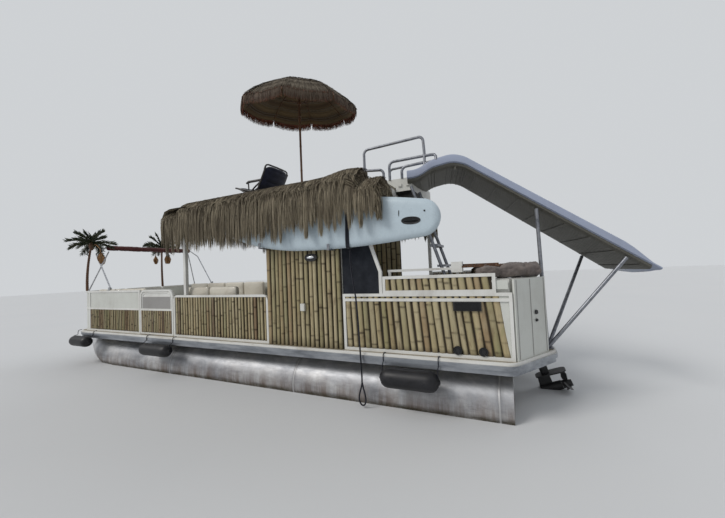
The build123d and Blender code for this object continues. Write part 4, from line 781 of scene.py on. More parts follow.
def skirt(shape, count, x_low, x_high, sign, crest=CREST, out=0.0, tiers=(0, 1, 1, 2)):
    """A number of reeds from the crest over the roof's edge, in clumps that end in tufts below it.

    Crest is their highest line, out moves them outward, and tiers are the rows to choose from, top to bottom.
    """
    level_crest = crest
    for _ in range(count // CLUMP):
        x = rng.uniform(x_low, x_high)
        tier = rng.choice(tiers)
        ragged = noise.noise(Vector((x * 1.7, tier * 3.3, sign * 5.0)))
        behind = at(THATCH_FORE) - x
        share = min(max(behind / SKIRT_LENGTH, 0), 1)
        lowest = LOWEST + 0.035 * behind - 0.055 * math.sin(math.pi * share)
        crest = level_crest + (swell(x) if x > at(STEP_AFT) else 0)
        index = round(x / TUFT + 0.4 * ragged)
        centre = TUFT * index + 0.03 * noise.noise(Vector((index * 5.13, sign * 3.0, 0.5)))
        level = 0.17 * noise.noise(Vector((index * 3.71, sign * 2.0, 1.5)))
        if rng.random() < 0.6:
            tip_x = x + (centre - x) * rng.uniform(0.1, 0.6)
            tip_z = lowest + 0.05 + level + abs(x - centre) * 2.0 + abs(rng.gauss(0, 0.05))
        else:
            tip_x = x + rng.uniform(-0.04, 0.04)
            tip_z = lowest + 0.12 + (crest - lowest) * 0.66 * rng.random() ** 0.6 + 0.06 * ragged
        tip_z = min(max(tip_z, lowest + 0.012), crest - 0.22)
        sway = rng.uniform(-0.014, 0.014)
        tint = rng.random()
        lay = rng.uniform(-0.016, 0.010) + out
        for _ in range(CLUMP):
            root = x + rng.gauss(0, 0.014)
            near = rng.gauss(0, 1)
            end = tip_x + near * 0.0085
            fall = min(tip_z + abs(near) * 0.04 + rng.uniform(0, 0.04), crest - 0.2)
            dy = lay + rng.uniform(-0.004, 0.004)
            knee = 2.62 if fall < 2.55 else (fall + crest - 0.13) / 2
            if tier == 0:
                line = [
                    (root, 1.0 + rng.uniform(0, 0.1), crest + rng.uniform(-0.03, 0.006)),
                    (root, 1.19 + dy, crest - 0.022),
                    (root, 1.335 + dy, crest - 0.125),
                    (root + (end - root) * 0.55, 1.398 + dy, knee),
                    (end, 1.402 + dy + sway, fall),
                ]
            elif tier == 1:
                line = [
                    (root, 1.21 + dy, crest - 0.03),
                    (root, 1.345 + dy, crest - 0.13),
                    (root + (end - root) * 0.55, 1.400 + dy, knee),
                    (end, 1.400 + dy + sway, fall),
                ]
            else:
                line = [
                    (root, 1.355 + dy, crest - 0.16),
                    (root + (end - root) * 0.45, 1.385 + dy, min(knee, crest - 0.2)),
                    (end, 1.388 + dy + sway, min(fall, crest - 0.25)),
                ]
            spine = [Vector((x, sign * y, z)) for x, y, z in line]
            wisp(
                shape, spine, Vector((1, 0, 0)), rng.uniform(0.005, 0.010),
                (tint + rng.gauss(0, 0.3)) % 1, 5 if tier < 2 else 4, rng.uniform(-0.8, 0.8),
            )


def skirt_core(shape, x_low, x_high, sign, steps=60, drop=0.0):
    """The dense body under the loose reeds, a little inside them."""
    section = [
        (1.0, 2.80), (1.0, 2.935), (1.165, 2.918), (1.29, 2.845), (1.362, 2.72), (1.378, 2.66), (1.378, 2.60),
        (1.352, 2.59), (1.338, 2.64), (1.325, 2.69), (1.17, 2.80),
    ]
    rings = []
    for i in range(steps + 1):
        x = x_low + (x_high - x_low) * i / steps
        ring = []
        for k, (y, z) in enumerate(section):
            low = 0.05 * noise.noise(Vector((x * 6, k, sign))) if k in (6, 7) else 0
            sunk = (drop if drop else -swell(x)) * max(z - CORE_FOOT, 0) / CORE_RISE
            bulge = 0.008 * noise.noise(Vector((x * 12, k * 3.1, sign)))
            ring.append(Vector((x, sign * (y + bulge), z + low - sunk)))
        rings.append(ring)
    tints = [0.35 + 0.3 * noise.noise(Vector((i * 0.7, 0, 0))) for i in range(steps + 1)]
    shape.rings(rings, [(0, tint, 0.2, 1) for tint in tints])


thatch_port = Shape()
skirt(thatch_port, 14200, at(STEP_AFT), at(THATCH_FORE), 1)
skirt(thatch_port, 1500, at(THATCH_AFT), at(STEP_AFT), 1, crest=LOW_CREST)
thatch_port.make("thatch_port", "thatch", replaces=("thatch_sides",), smooth=False, slot="thatch")
thatch_star = Shape()
skirt(thatch_star, 11600, at(STEP_AFT), at(THATCH_FORE), -1)
skirt(thatch_star, 1300, at(THATCH_AFT), at(STEP_AFT), -1, crest=LOW_CREST)
thatch_star.make("thatch_starboard", "thatch", smooth=False, slot="thatch")
# The cores are in the darker thatch colours, painted shade inside the thatch
core = Shape()
for sign in (1, -1):
    skirt_core(core, at(STEP_AFT - 10), at(THATCH_FORE), sign)
    skirt_core(core, at(THATCH_AFT - 6), at(STEP_AFT), sign, steps=8, drop=0.11)
core.make("thatch_core", "thatch_shaded", smooth=False, slot="thatch")


# The lower thatch at the bow end: its side skirts, and the fringe across the roof's front
FRONT_HALF = 1.36
CLUMPS_A_METRE = 22


def front_droop(y):
    """How far the front's thatch sinks toward its two corners."""
    return max(0, abs(y) - 1.05) * 0.22


front = Shape()
for sign in (1, -1):
    skirt(front, 2600, at(4640), at(5040), sign, crest=FORE_CREST, out=-0.028, tiers=(0, 1, 1))
for i in range(5600):
    y = rng.uniform(-FRONT_HALF, FRONT_HALF)
    clump = round(y * CLUMPS_A_METRE + 0.35 * noise.noise(Vector((y * 9, 0, 0)))) / CLUMPS_A_METRE
    ragged = noise.noise(Vector((clump * 5.3, 7.0, 0)))
    fall = 2.33 + 0.16 * ragged + rng.uniform(-0.03, 0.13) + abs(y - clump) * 3
    dx = rng.uniform(-0.02, 0.010)
    droop = front_droop(y)
    spine = [
        Vector((at(4760) + rng.uniform(-0.25, 0.05), y, 2.903 - droop)),
        Vector((at(4950), y, 2.893 - droop)),
        Vector((at(5040) + dx, y, 2.77 - droop)),
        Vector((at(5054) + dx, clump + (y - clump) * 0.35, max(fall, 2.24))),
    ]
    wisp(front, spine, Vector((0, 1, 0)), rng.uniform(0.006, 0.012), rng.random(), 5, rng.uniform(-0.7, 0.7))
front.make("thatch_front_reeds", "thatch", replaces=("thatch_front",), smooth=False, slot="thatch")
# The front's core, in the darker thatch colours as painted shade
core = Shape()
outline = [
    (4.57, 2.802), (4.57, 2.88), (4.93, 2.868), (5.01, 2.79), (5.028, 2.66), (5.028, 2.60), (5.0, 2.60),
    (4.995, 2.78), (4.975, 2.802),
]
rings = []
for y in (-1.04, -0.5, 0, 0.5, 1.04):
    rings.append([Vector((x - 3.465, y, z - front_droop(y))) for x, z in outline])
core.rings(rings, [(0, 0.4, 0.2, 1)] * 5)
section = [
    (1.0, 2.802), (1.0, 2.872), (1.16, 2.857), (1.27, 2.80), (1.345, 2.66), (1.352, 2.60), (1.32, 2.59),
    (1.30, 2.70), (1.178, 2.802),
]
for sign in (1, -1):
    rings = [[Vector((x, sign * y, z)) for y, z in section] for x in (at(4645), at(5010))]
    core.rings(rings, [(0, 0.4, 0.2, 1)] * 2)
core.make("thatch_front_core", "thatch_shaded", smooth=False, slot="thatch")

# Bushy aft ends: reeds that spill over the cut end of each tier
ends = Shape()
for sign in (1, -1):
    for edge, crest_end, number, falls in (
        (THATCH_AFT, 2.845, 2400, (0.12, 0.5)), (STEP_AFT, 2.95, 900, (0.05, 0.17)),
    ):
        for i in range(number):
            y = rng.uniform(0.99, 1.405)
            crest = crest_end - max(0, y - 1.17) ** 1.6 * 1.5
            sink = rng.uniform(0.0, 0.06) + (0.22 * rng.random() ** 2 if edge == THATCH_AFT else 0)
            root = Vector((at(edge) + rng.uniform(0, 0.12), sign * y, crest - sink))
            reach = rng.uniform(-0.01, 0.045)
            fall = rng.uniform(*falls)
            low = 2.60 if 1.17 < y < 1.335 else 2.30
            tip_z = max(root.z - fall, low + rng.uniform(0, 0.06))
            tip = Vector((at(edge - 14) - reach, sign * min(y + rng.uniform(-0.02, 0.03), 1.408), tip_z))
            knee_z = max(root.z - 0.05 - 0.2 * fall, tip.z + 0.02)
            knee = Vector((at(edge - 10) - reach * 0.9, sign * y, knee_z))
            wisp(
                ends, [root, knee, tip], Vector((0, 1, 0)), rng.uniform(0.006, 0.012), rng.random(), 5,
                rng.uniform(-1.2, 1.2),
            )
ends.make("thatch_ends", "thatch", smooth=False, slot="thatch")


# Umbrella of layered raffia, tilted at the joint of its pole
RIM, APEX, JOINT = 0.915, 0.49, 4.30
DOME_RISE = 0.37
SPHERE = (RIM**2 + DOME_RISE**2) / (2 * DOME_RISE)
RIBS = 8
tilt, heading = math.radians(10.5), math.radians(128)
lean = Vector((math.sin(tilt) * math.cos(heading), math.sin(tilt) * math.sin(heading), math.cos(tilt)))
across = Vector((math.sin(heading), -math.cos(heading), 0))
along = lean.cross(across)
UX, UY = at(3190), 0.3
START_ANGLE = math.radians(-61.5)


def crown(reach, angle, height):
    """A point from the umbrella's own axis: reach, angle round it, and height above the joint."""
    side = across * math.cos(angle) * reach + along * math.sin(angle) * reach
    return Vector((UX, UY, JOINT)) + side + lean * height


def dome(reach, angle, drop=0.0):
    """A point on the canopy, which sinks a little between its ribs."""
    slack = abs(math.sin(RIBS / 2 * (angle - START_ANGLE)))
    sag = 0.046 * (reach / RIM) ** 2 * slack**0.8
    pull = 1 - 0.04 * (reach / RIM) ** 3 * slack
    return crown(reach * pull, angle, APEX - SPHERE + math.sqrt(max(SPHERE**2 - reach**2, 0)) - sag - drop)


def around(angle):
    """The level direction along the rim."""
    return -across * math.sin(angle) + along * math.cos(angle)


# The canopy's base, in the darker raffia colours as painted shade under the raffia layers
canopy = Shape()
reaches = [0.021, 0.12, 0.24, 0.36, 0.48, 0.6, 0.72, 0.82, 0.9]
rings = [[dome(reach, a, 0.004) for a in turns(96)] for reach in reaches]
rings += [[dome(reach, a, 0.012) for a in turns(96)] for reach in reversed(reaches)]
bands = [0.2 if i % 2 else 0.6 for i in range(len(reaches))]
canopy.rings(rings, [(0, b, 0.5, 1) for b in bands + bands[::-1]], cap=False)
canopy.make("umbrella_base", "raffia_shaded", replaces=("umbrella_canopy",), slot="raffia")

layers = Shape()
LAYER = 0.20
for start, number in ((0.03, 300), (0.17, 560), (0.31, 820), (0.45, 1080), (0.59, 1300), (0.72, 1500)):
    for i in range(number):
        angle = 2 * math.pi * (i + rng.random()) / number
        reach = start + rng.uniform(-0.01, 0.02)
        far = min(reach + LAYER * rng.uniform(0.8, 1.1), 0.912)
        mid = dome((reach + far) / 2, angle, -0.008)
        tip = dome(far, angle + rng.uniform(-0.02, 0.02), rng.uniform(-0.020, -0.004))
        wisp(
            layers, [dome(reach, angle), mid, tip], around(angle), rng.uniform(0.008, 0.014), rng.random(), 3,
            rng.uniform(-0.3, 0.3),
        )
layers.make("umbrella_raffia", "raffia", smooth=False, slot="raffia")
# The fringe is double: grey-brown outside, redder inside
for name, look, number, stand_off in (
    ("umbrella_fringe", "raffia_fringe", 2300, -0.006), ("umbrella_edge", "raffia_edge", 2300, 0.006),
):
    fringe = Shape()
    for i in range(number):
        angle = 2 * math.pi * (i + rng.random()) / number
        from_rib = abs((((angle - START_ANGLE) * 4 / math.pi) + 0.5) % 1.0 - 0.5)
        if from_rib < 0.02:
            continue
        fall = 0.118 * rng.uniform(0.72, 1.08) * (1.0 if stand_off < 0 else 0.86)
        edge = dome(rng.uniform(0.85, 0.895), angle, -0.004)
        knee = dome(0.908 + stand_off, angle, 0.014)
        inward = (crown(0, 0, 0.3) - knee).normalized()
        tip = knee + above(-fall) + inward * (rng.uniform(-0.004, 0.014) - stand_off)
        tip += around(angle) * rng.uniform(-0.010, 0.010)
        wisp(
            fringe, [edge, knee, tip], around(angle), rng.uniform(0.005, 0.010), rng.random(), 4,
            rng.uniform(-0.8, 0.8),
        )
    fringe.make(name, look, smooth=False, slot="raffia")
hem = Shape()
for reach, drop in ((0.18, 0.016), (0.34, 0.016), (0.5, 0.017), (0.66, 0.017), (0.8, 0.018)):
    for thick in (0.0, 0.03):
        ring = [dome(reach + thick, a, drop) for a in turns(64, True)]
        hem.tube(ring, 0.009, 6, [(0, 0.95, 0.6, 1)] * 65, cap=False, flat=0.4)
hem.make("umbrella_bands", "raffia", slot="raffia")
ribs = Shape()
for i in range(RIBS):
    angle = START_ANGLE + math.tau / RIBS * i
    ribs.tube([dome(r, angle, 0.020) for r in (0.03, 0.25, 0.5, 0.7, 0.9)], 0.006, 6)
    ribs.tube([crown(0.022, angle, 0.20), dome(0.5, angle, 0.026)], 0.005, 6)
    ribs.tube([dome(0.895, angle, 0.02), dome(0.925, angle, 0.026)], [0.009, 0.006], 8)
ribs.tube([crown(0, 0, z) for z in (0.17, 0.175, 0.225, 0.23)], [0.02, 0.03, 0.03, 0.02], 16)
ribs.make("umbrella_ribs", "dark_wood", slot="dark_wood")
joints = Shape()
for z in (3.05, 3.42, 3.81, 4.16):
    joints.tube([Vector((UX, UY, z + d)) for d in (-0.008, 0.0, 0.008)], [0.0172, 0.0205, 0.0172], 14)
joints.tube([Vector((UX, UY, z)) for z in (4.235, 4.24, 4.27, 4.275)], [0.018, 0.023, 0.023, 0.018], 14)
joints.make("umbrella_pole_joints", "dark_wood", slot="dark_wood")


# Paddle board
RISE = math.radians(2.6)
BOARD_X = Vector((math.cos(RISE), 0, math.sin(RISE)))
BOARD_UP = Vector((-math.sin(RISE), 0, math.cos(RISE)))
BOARD_TAIL = pt(850, 1250, 2300)
BOARD_LENGTH, TAIL_RADIUS, HALF_THICK = 3.15, 0.2, 0.055
WIDEST = (1.7, 0.318)


def circle_through(a, b, c):
    """The centre and radius of the circle through three points."""
    (ax, ay), (bx, by), (cx, cy) = a, b, c
    d = 2 * (ax * (by - cy) + bx * (cy - ay) + cx * (ay - by))
    aa, bb, cc = ax * ax + ay * ay, bx * bx + by * by, cx * cx + cy * cy
    x = (aa * (by - cy) + bb * (cy - ay) + cc * (ay - by)) / d
    y = (aa * (cx - bx) + bb * (ax - cx) + cc * (bx - ax)) / d
    return x, y, math.hypot(ax - x, ay - y)


AFT_ARC = circle_through((TAIL_RADIUS, TAIL_RADIUS), (1.27, 0.306), WIDEST)
FORE_ARC = circle_through(WIDEST, (2.3, 0.266), (BOARD_LENGTH, 0.0))


def board_half(u):
    """Half the board's width at a distance from its tail."""
    if u < TAIL_RADIUS:
        return math.sqrt(max(TAIL_RADIUS**2 - (TAIL_RADIUS - u) ** 2, 0))
    x, y, radius = AFT_ARC if u < WIDEST[0] else FORE_ARC
    return y + math.sqrt(max(radius**2 - (u - x) ** 2, 0))


board = Shape()
rings = []
lengths = [0.001, 0.004, 0.01, 0.02, 0.035, 0.055, 0.08, 0.11, 0.15, 0.2]
lengths += [0.2 + 2.75 * i / 44 for i in range(1, 45)] + [3.0, 3.05, 3.09, 3.12, 3.14, 3.149]
for u in lengths:
    half = max(board_half(u), 0.002)
    thick = HALF_THICK * min(1, (u / 0.06 + 0.12) ** 0.45, ((BOARD_LENGTH - u) / 0.35 + 0.03) ** 0.5)
    ring = []
    for a in turns(28):
        v = half * power(math.cos(a), 0.62)
        w = thick * power(math.sin(a), 0.5)
        edge = min(1, (half - abs(v)) / 0.06 + 0.35)
        ring.append(BOARD_TAIL + BOARD_X * u + BOARD_UP * v + Vector((0, w * edge**0.5, 0)))
    rings.append(ring)
board.rings(rings)
board.make("paddle_board_skin", "board_skin", replaces=("paddle_board",), slot="board_foam", sharp=0)


def on_board(u, v, lift_out=0.0):
    """A point on the board's outer face."""
    return BOARD_TAIL + BOARD_X * u + BOARD_UP * v + Vector((0, HALF_THICK + lift_out, 0))


grip = Shape()
outline = [(0.101 * power(math.cos(a), 0.85), 0.039 * math.sin(a)) for a in turns(36)]
layers = ((1.03, -0.004), (1.02, 0.0035), (0.96, 0.004), (0.88, 0.0012))
grip.rings([[on_board(0.295 + x * k, -0.03 + z * k, d) for x, z in outline] for k, d in layers])
grip.rings([[on_board(0.424 + x * 0.05, 0.052 + z * 0.85, d) for x, z in outline] for d in (-0.003, 0.0018)])
grip.make("board_grip", "grip_black", slot="dark_plastic")
handle = Shape()
reaches = (-0.075, -0.05, -0.025, 0, 0.025, 0.05, 0.075)
path = [on_board(0.295 + x, -0.03, 0.003 + 0.012 * (1 - (x / 0.075) ** 2)) for x in reaches]
handle.tube(path, 0.009, 8, flat=0.5)
handle.tube([on_board(0.152, 0.062, 0.0), on_board(0.152, 0.062, 0.006)], [0.010, 0.008], 12)
handle.make("board_handle", "grip_black", slot="dark_plastic")

# The dark strap round the board
strap = Shape()
loop = []
for a in turns(32, True):
    v = 0.300 * power(math.cos(a), 0.62)
    w = 0.0585 * power(math.sin(a), 0.35)
    loop.append(BOARD_TAIL + BOARD_X * 1.035 + BOARD_UP * v + Vector((0, w, 0)))
strap.rings([[p + BOARD_X * dx for p in loop] for dx in (-0.024, 0.024)], cap=False)
strap.make("board_strap", "webbing", slot="line_navy")


# Slide
YAW = math.radians(12)
DOWN = Vector((-math.cos(YAW), -math.sin(YAW), 0))
OUT = Vector((-math.sin(YAW), math.cos(YAW), 0))
SLIDE = pt(1250, 808, 0)
TOP_WIDTH, LIP_WIDTH = 0.84, 1.05
SLIDE_START, ENTRY_Z, LIP = -0.06, 2.868, 2.44
SLIDE_BEND, CHUTE_STEP = 0.3, 0.09
SLIDE_LINE = [(-0.26, ENTRY_Z), (0.06, ENTRY_Z), (0.23, 2.965), (0.47, 3.012), (0.61, 2.962), (LIP, 1.672)]


def rounded(points, radius, steps=7):
    """A line through points with its corners rounded by arcs of one radius."""
    made = [Vector(points[0])]
    for a, b, c in zip(points, points[1:], points[2:]):
        a, b, c = Vector(a), Vector(b), Vector(c)
        back, ahead = (a - b).normalized(), (c - b).normalized()
        half = back.angle(ahead) / 2
        cut = radius / math.tan(half)
        start, end = b + back * cut, b + ahead * cut
        centre = b + (back + ahead).normalized() * radius / math.sin(half)
        for i in range(steps + 1):
            t = i / steps
            p = start.lerp(end, t) - centre
            made.append(centre + p.normalized() * radius)
    made.append(Vector(points[-1]))
    return made


line = rounded(SLIDE_LINE, SLIDE_BEND)
clipped = [Vector((SLIDE_START, ENTRY_Z))] + [p for p in line if p.x > SLIDE_START]
dense = []
for a, b in zip(clipped, clipped[1:]):
    pieces = max(1, round((b - a).length / CHUTE_STEP))
    dense += [a.lerp(b, i / pieces) for i in range(pieces)]
dense.append(clipped[-1])


def slide_ring(s, z, profile):
    """The slide's section at a distance down it. Its rims sink toward the lip.

    Each point of a profile has its side (0 port, 0.5 the middle, 1 starboard), inset and height.
    """
    width = TOP_WIDTH + (s + 0.3) / 2.9 * (LIP_WIDTH - TOP_WIDTH)
    ring = []
    low = min(max((LIP - s) / 0.26, 0.22), 1)
    for share, inset, dz in profile:
        dz = dz * low if dz > 0.02 else dz
        across = inset if share == 0 else (width - inset if share == 1 else width / 2 + inset)
        ring.append(SLIDE + DOWN * s - OUT * across + above(z + dz))
    return ring


def both_sides(half, middle):
    """A profile made of one side, the middle's height and the same side mirrored."""
    return [(0, *p) for p in half] + [(0.5, 0, middle)] + [(1, *p) for p in reversed(half)]


rim_side = [
    (0.016, 0.0), (0.0, 0.006), (-0.002, 0.02), (0.0, 0.07), (0.008, 0.088), (0.022, 0.095), (0.048, 0.095),
    (0.064, 0.088), (0.072, 0.07), (0.088, 0.02), (0.13, -0.012), (0.22, -0.023),
]
rim = both_sides(rim_side, -0.026) + both_sides([(0.024, -0.004)], -0.038)[::-1]
chute = Shape()
chute.rings([slide_ring(p.x, p.y, rim) for p in dense])
chute.make("slide_chute", "gelcoat", replaces=("slide",), slot="slide_gelcoat", sharp=50)
# The belly and its ribs in the underside's colour, darkened as painted shade
under_side = [(0.026, 0.002), (0.032, -0.03), (0.06, -0.046), (0.12, -0.049)]
under = both_sides(under_side, -0.049) + both_sides([(0.12, -0.028)], -0.034)[::-1]
belly = Shape()
belly.rings([slide_ring(p.x, p.y, under) for p in dense[:-1]])
belly.make("slide_belly", "gelcoat_shaded_under", slot="slide_gelcoat", sharp=50)
ribs = Shape()
for p in dense[6:-2:3]:
    across_belly = [(0, 0.07, -0.0495), (0.5, -0.2, -0.0525), (0.5, 0.2, -0.0525), (1, 0.07, -0.0495)]
    ring = slide_ring(p.x, p.y, across_belly)
    ribs.tube(ring, 0.007, 6, flat=0.5, side_hint=above(1))
bolt = slide_ring(0.50, 2.985, [(0, 0.05, -0.06)])[0]
ribs.tube([bolt, bolt + above(0.03)], [0.014, 0.014], 6)
ribs.make("slide_ribs", "gelcoat_shaded_under", slot="slide_gelcoat")

# Black tray under the white entry box, with its own lip
tray = Shape()
for levels in (
    ((1283, 1632, 0.704, -0.224, 2.801), (1283, 1632, 0.704, -0.224, 2.812)),
    ((1330, 1488, 0.66, -0.18, 2.705), (1276, 1494, 0.716, -0.236, 2.744)),
):
    rings = []
    for aft, fore, port, other, z in levels:
        corners = ((aft, port), (aft, other), (fore, other), (fore, port))
        rings.append([Vector((at(s), y, z)) for s, y in corners])
    tray.rings(rings)
tray.make("entry_tray", "black_matt", slot="dark_plastic")
catch = Shape()
for y in (0.735, -0.255):
    inner = y - math.copysign(0.014, y)
    for x in (at(1330), at(1430)):
        catch.box((x - 0.022, min(y, inner), 2.80), (x + 0.022, max(y, inner), 2.84), 0.003)
catch.make("entry_catches", "panel_white", slot="pale_panel")


# Soft goods
SQUARED = 0.22
BASE_TOP = 1.2035


def pad(shape, low, high, crown=0.014, pull=0.010, axis=2):
    """A padded form: crowned faces, and sides that pull in between its corners."""
    low, high = Vector(low), Vector(high)
    middle = (low + high) / 2
    half = (high - low) / 2
    order = {2: (0, 1, 2), 1: (0, 2, 1), 0: (1, 2, 0)}[axis]
    a, b, n = half[order[0]], half[order[1]], half[order[2]]
    rings = []
    for level in range(-6, 7):
        t = level / 6
        edge = math.sqrt(max(1 - (abs(t) ** 3.2), 0))
        inset = (1 - edge) * min(n, 0.05)
        ring = []
        for angle in turns(56):
            u = power(math.cos(angle), SQUARED)
            v = power(math.sin(angle), SQUARED)
            x = u * (a - inset)
            y = v * (b - inset)
            x -= math.copysign(pull * (1 - v * v), x) * (1 - t * t) * (abs(u) > 0.9)
            y -= math.copysign(pull * (1 - u * u), y) * (1 - t * t) * (abs(v) > 0.9)
            p = [0, 0, 0]
            p[order[0]], p[order[1]], p[order[2]] = x, y, t * (n - crown)
            ring.append(middle + Vector(p))
        rings.append(ring)
    for sign in (-1, 1):
        cap = []
        source = rings[0] if sign < 0 else rings[-1]
        for share in (0.86, 0.6, 0.3, 0.05):
            ring = []
            for p in source:
                q = middle + (p - middle) * share
                q[order[2]] = middle[order[2]] + sign * (n - crown + crown * (1 - share**2.5))
                ring.append(q)
            cap.append(ring)
        rings = (cap[::-1] + rings) if sign < 0 else (rings + cap)
    shape.rings(rings)


def piping(shape, low, high, level, radius=0.005):
    """A sewn cord round a cushion's edge."""
    a, b = (high[0] - low[0]) / 2 - 0.012, (high[1] - low[1]) / 2 - 0.012
    cx, cy = (high[0] + low[0]) / 2, (high[1] + low[1]) / 2
    path = []
    for angle in turns(60, True):
        u, v = power(math.cos(angle), SQUARED), power(math.sin(angle), SQUARED)
        path.append(Vector((cx + u * a, cy + v * b, level)))
    shape.tube(path, radius, 6, cap=False)


cushions = Shape()
cords = Shape()
for aft, fore, y_low, y_high, side in (
    (6090, 7560, 520, 1060, 1), (5200, 7560, -1060, -520, -1),
    (3900, 5060, 520, 1060, 1), (1200, 2050, -1060, -520, -1),
):
    number = max(1, round((fore - aft) / 620))
    for i in range(number):
        x0 = at(aft + (fore - aft) * i / number) + 0.003
        x1 = at(aft + (fore - aft) * (i + 1) / number) - 0.003
        inner = (y_low if side > 0 else y_low + 132) / 1000
        outer = (y_high - 132 if side > 0 else y_high) / 1000
        pad(cushions, (x0, inner, BASE_TOP), (x1, outer, 1.3125))
        piping(cords, (x0, inner), (x1, outer), 1.296)
        back_in, back_out = sorted((side * 0.932, side * 1.058))
        pad(cushions, (x0, back_in, BASE_TOP), (x1, back_out, 1.6420), axis=1, crown=0.02)
seats = cushions.make("bench_pads", "seat_vinyl", replaces=("bench_cushions",), slot="seat_vinyl", sharp=0)
cords.make("bench_piping", "grey_vinyl", slot="seat_vinyl")

chair = Shape()
pad(chair, (at(3185), -0.995, BASE_TOP), (at(3655), -0.485, 1.341), crown=0.02)
pad(chair, (at(3178), -0.99, 1.34), (at(3282), -0.49, 1.821), axis=0, crown=0.022)
for y0, y1 in ((-0.998, -0.945), (-0.535, -0.482)):
    pad(chair, (at(3290), y0, 1.46), (at(3560), y1, 1.515), crown=0.008, pull=0.003)
helm_seat = chair.make(
    "helm_seat", "seat_vinyl", "captain_chair", replaces=("captain_chair",), slot="seat_vinyl", sharp=0,
)
shell = Shape()
for y in (-0.972, -0.508):
    line = ((3230, 1.40), (3235, 1.468), (3300, 1.478), (3540, 1.478))
    shell.tube([Vector((at(s), y, z)) for s, z in line], 0.011, 8)
shell.tube([Vector((at(3420), -0.74, z)) for z in (1.2025, 1.206)], 0.16, 24)
shell.make("helm_seat_frame", "bright_tube", "captain_chair", slot="bright_tube")

# Camp chair on the upper deck: a quilted sling with a round head, on a bent frame
SLING_LINE = [
    (3352, 3366), (3372, 3316), (3412, 3230), (3462, 3142), (3520, 3066), (3590, 3034), (3690, 3052),
    (3800, 3086), (3920, 3112),
]
SLING_Y, SLING_HALF, SLING_THICK = 0.69, 0.238, 0.034
seat = Shape()
rings = []
steps = 48
for i in range(steps + 1):
    t = i / steps * (len(SLING_LINE) - 1)
    k = min(int(t), len(SLING_LINE) - 2)
    (s0, z0), (s1, z1) = SLING_LINE[k], SLING_LINE[k + 1]
    station = s0 + (s1 - s0) * (t - k)
    z = z0 + (z1 - z0) * (t - k)
    ahead = Vector((s1 - s0, 0, z1 - z0)).normalized()
    face = Vector((-ahead.z, 0, ahead.x))
    u = i / steps
    end = min(u, 1 - u)
    head_round = 0.5 + 0.5 * (min(u, 0.14) / 0.14) ** 0.5
    foot_round = min(1, 0.7 + 0.3 * (min(1 - u, 0.1) / 0.1) ** 0.5)
    half = SLING_HALF * head_round * foot_round
    quilt = 0.6 + 0.4 * abs(math.sin(u * math.pi * 9)) ** 0.5
    thick = SLING_THICK * min(1, (end / 0.02 + 0.15) ** 0.5) * quilt * (1.35 if u < 0.45 else 0.8)
    ring = []
    for a in turns(28):
        across_seat = power(math.cos(a), 0.7) * half
        droop = -0.03 * (1 - (across_seat / half) ** 2)
        height = power(math.sin(a), 0.8) * thick
        ring.append(Vector((at(station), SLING_Y + across_seat, z / 1000)) + face * (height + droop))
    rings.append(ring)
seat.rings(rings)
sling = seat.make("camp_chair_sling", "chair_cloth", replaces=("lounger",), slot="dark_tube", sharp=0)
bars = Shape()
CHAIR_TUBE = 0.012
corners = [(at(3358), 3.34), (at(3400), 3.26), (at(3530), 3.02), (at(3600), 3.012), (at(3950), 3.112)]
side_line = rounded(corners, 0.03)
for y in (445, 935):
    bars.tube([Vector((q.x, y / 1000, q.y)) for q in side_line], CHAIR_TUBE, 10)
    bars.tube([pt(3420, y, 2813), pt(3880, y, 3090)], CHAIR_TUBE, 10)
    bars.tube([pt(3900, y, 2813), pt(3580, y, 3070), pt(3456, y, 3142)], CHAIR_TUBE, 10)
    arm = [pt(3450, y, 3146), pt(3470, y, 3162), pt(3690, y, 3166), pt(3730, y, 3150)]
    bars.tube(arm, [0.012, 0.018, 0.018, 0.014], 12)
    bars.tube([pt(3690, y, 3056), pt(3696, y, 3164)], 0.010, 8)
    for station, lean_in in ((3420, 12), (3900, -12)):
        boot_line = [pt(station, y, 2801.5), pt(station, y, 2815), pt(station + lean_in, y, 2828)]
        bars.tube(boot_line, [0.017, 0.017, 0.014], 12)
arc = [
    (445, 3300), (446, 3344), (462, 3368), (500, 3380), (690, 3384),
    (880, 3380), (918, 3368), (934, 3344), (935, 3300),
]
bars.tube([pt(3350 + (3384 - z) * 0.4, y, z) for y, z in arc], CHAIR_TUBE, 10)
bars.tube([pt(3948, 445, 3112), pt(3948, 935, 3112)], CHAIR_TUBE, 10)
bars.make("camp_chair_frame", "dark_tube", slot="dark_tube")

# Cover rolled up on the stern corner: creased canvas round a tube, with a plank beside it
START = pt(600, 980, 1725.3)
ROLL_LENGTH = 0.7
THIN_TIE, FULL_TIE = 0.36, 0.74
ALONG = Vector((-0.75, -0.4, 0)).normalized()
ACROSS = Vector((ALONG.y, -ALONG.x, 0))
roll = Shape()
rings = []
for i in range(61):
    t = i / 60
    ring = []
    squeeze = 1 - 0.16 * math.exp(-(((t - THIN_TIE) / 0.03) ** 2))
    squeeze -= 0.14 * math.exp(-(((t - FULL_TIE) / 0.025) ** 2))
    taper = min(1, (min(t, 1 - t) / 0.05 + 0.15) ** 0.5)
    for a in turns(40):
        c, s = math.cos(a), math.sin(a)
        crease = noise.noise(Vector((t * 6, c * 1.8, s * 1.8))) * 0.24
        crease += noise.noise(Vector((t * 20, c * 3.4 + 5, s * 3.4))) * 0.12
        crease += noise.noise(Vector((t * 52, c * 6 + 9, s * 6))) * 0.05
        full = (0.74 + 0.24 * min(t / 0.5, 1) ** 0.7 + crease) * squeeze * taper
        sideways = 0.110 * c * full
        rise_up = 0.078 * s * min(full, 1.0 if s < 0 else 1.2)
        ring.append(START + ALONG * ROLL_LENGTH * t + ACROSS * sideways + above(rise_up))
    rings.append(ring)
roll.rings(rings)
cover = roll.make("rolled_cover", "canvas", replaces=("cover_roll",), slot="cover_canvas", sharp=0)


def oval(wide, high, angle):
    """A point round the roll, from its middle."""
    return ACROSS * wide * math.cos(angle) + above(high * math.sin(angle))


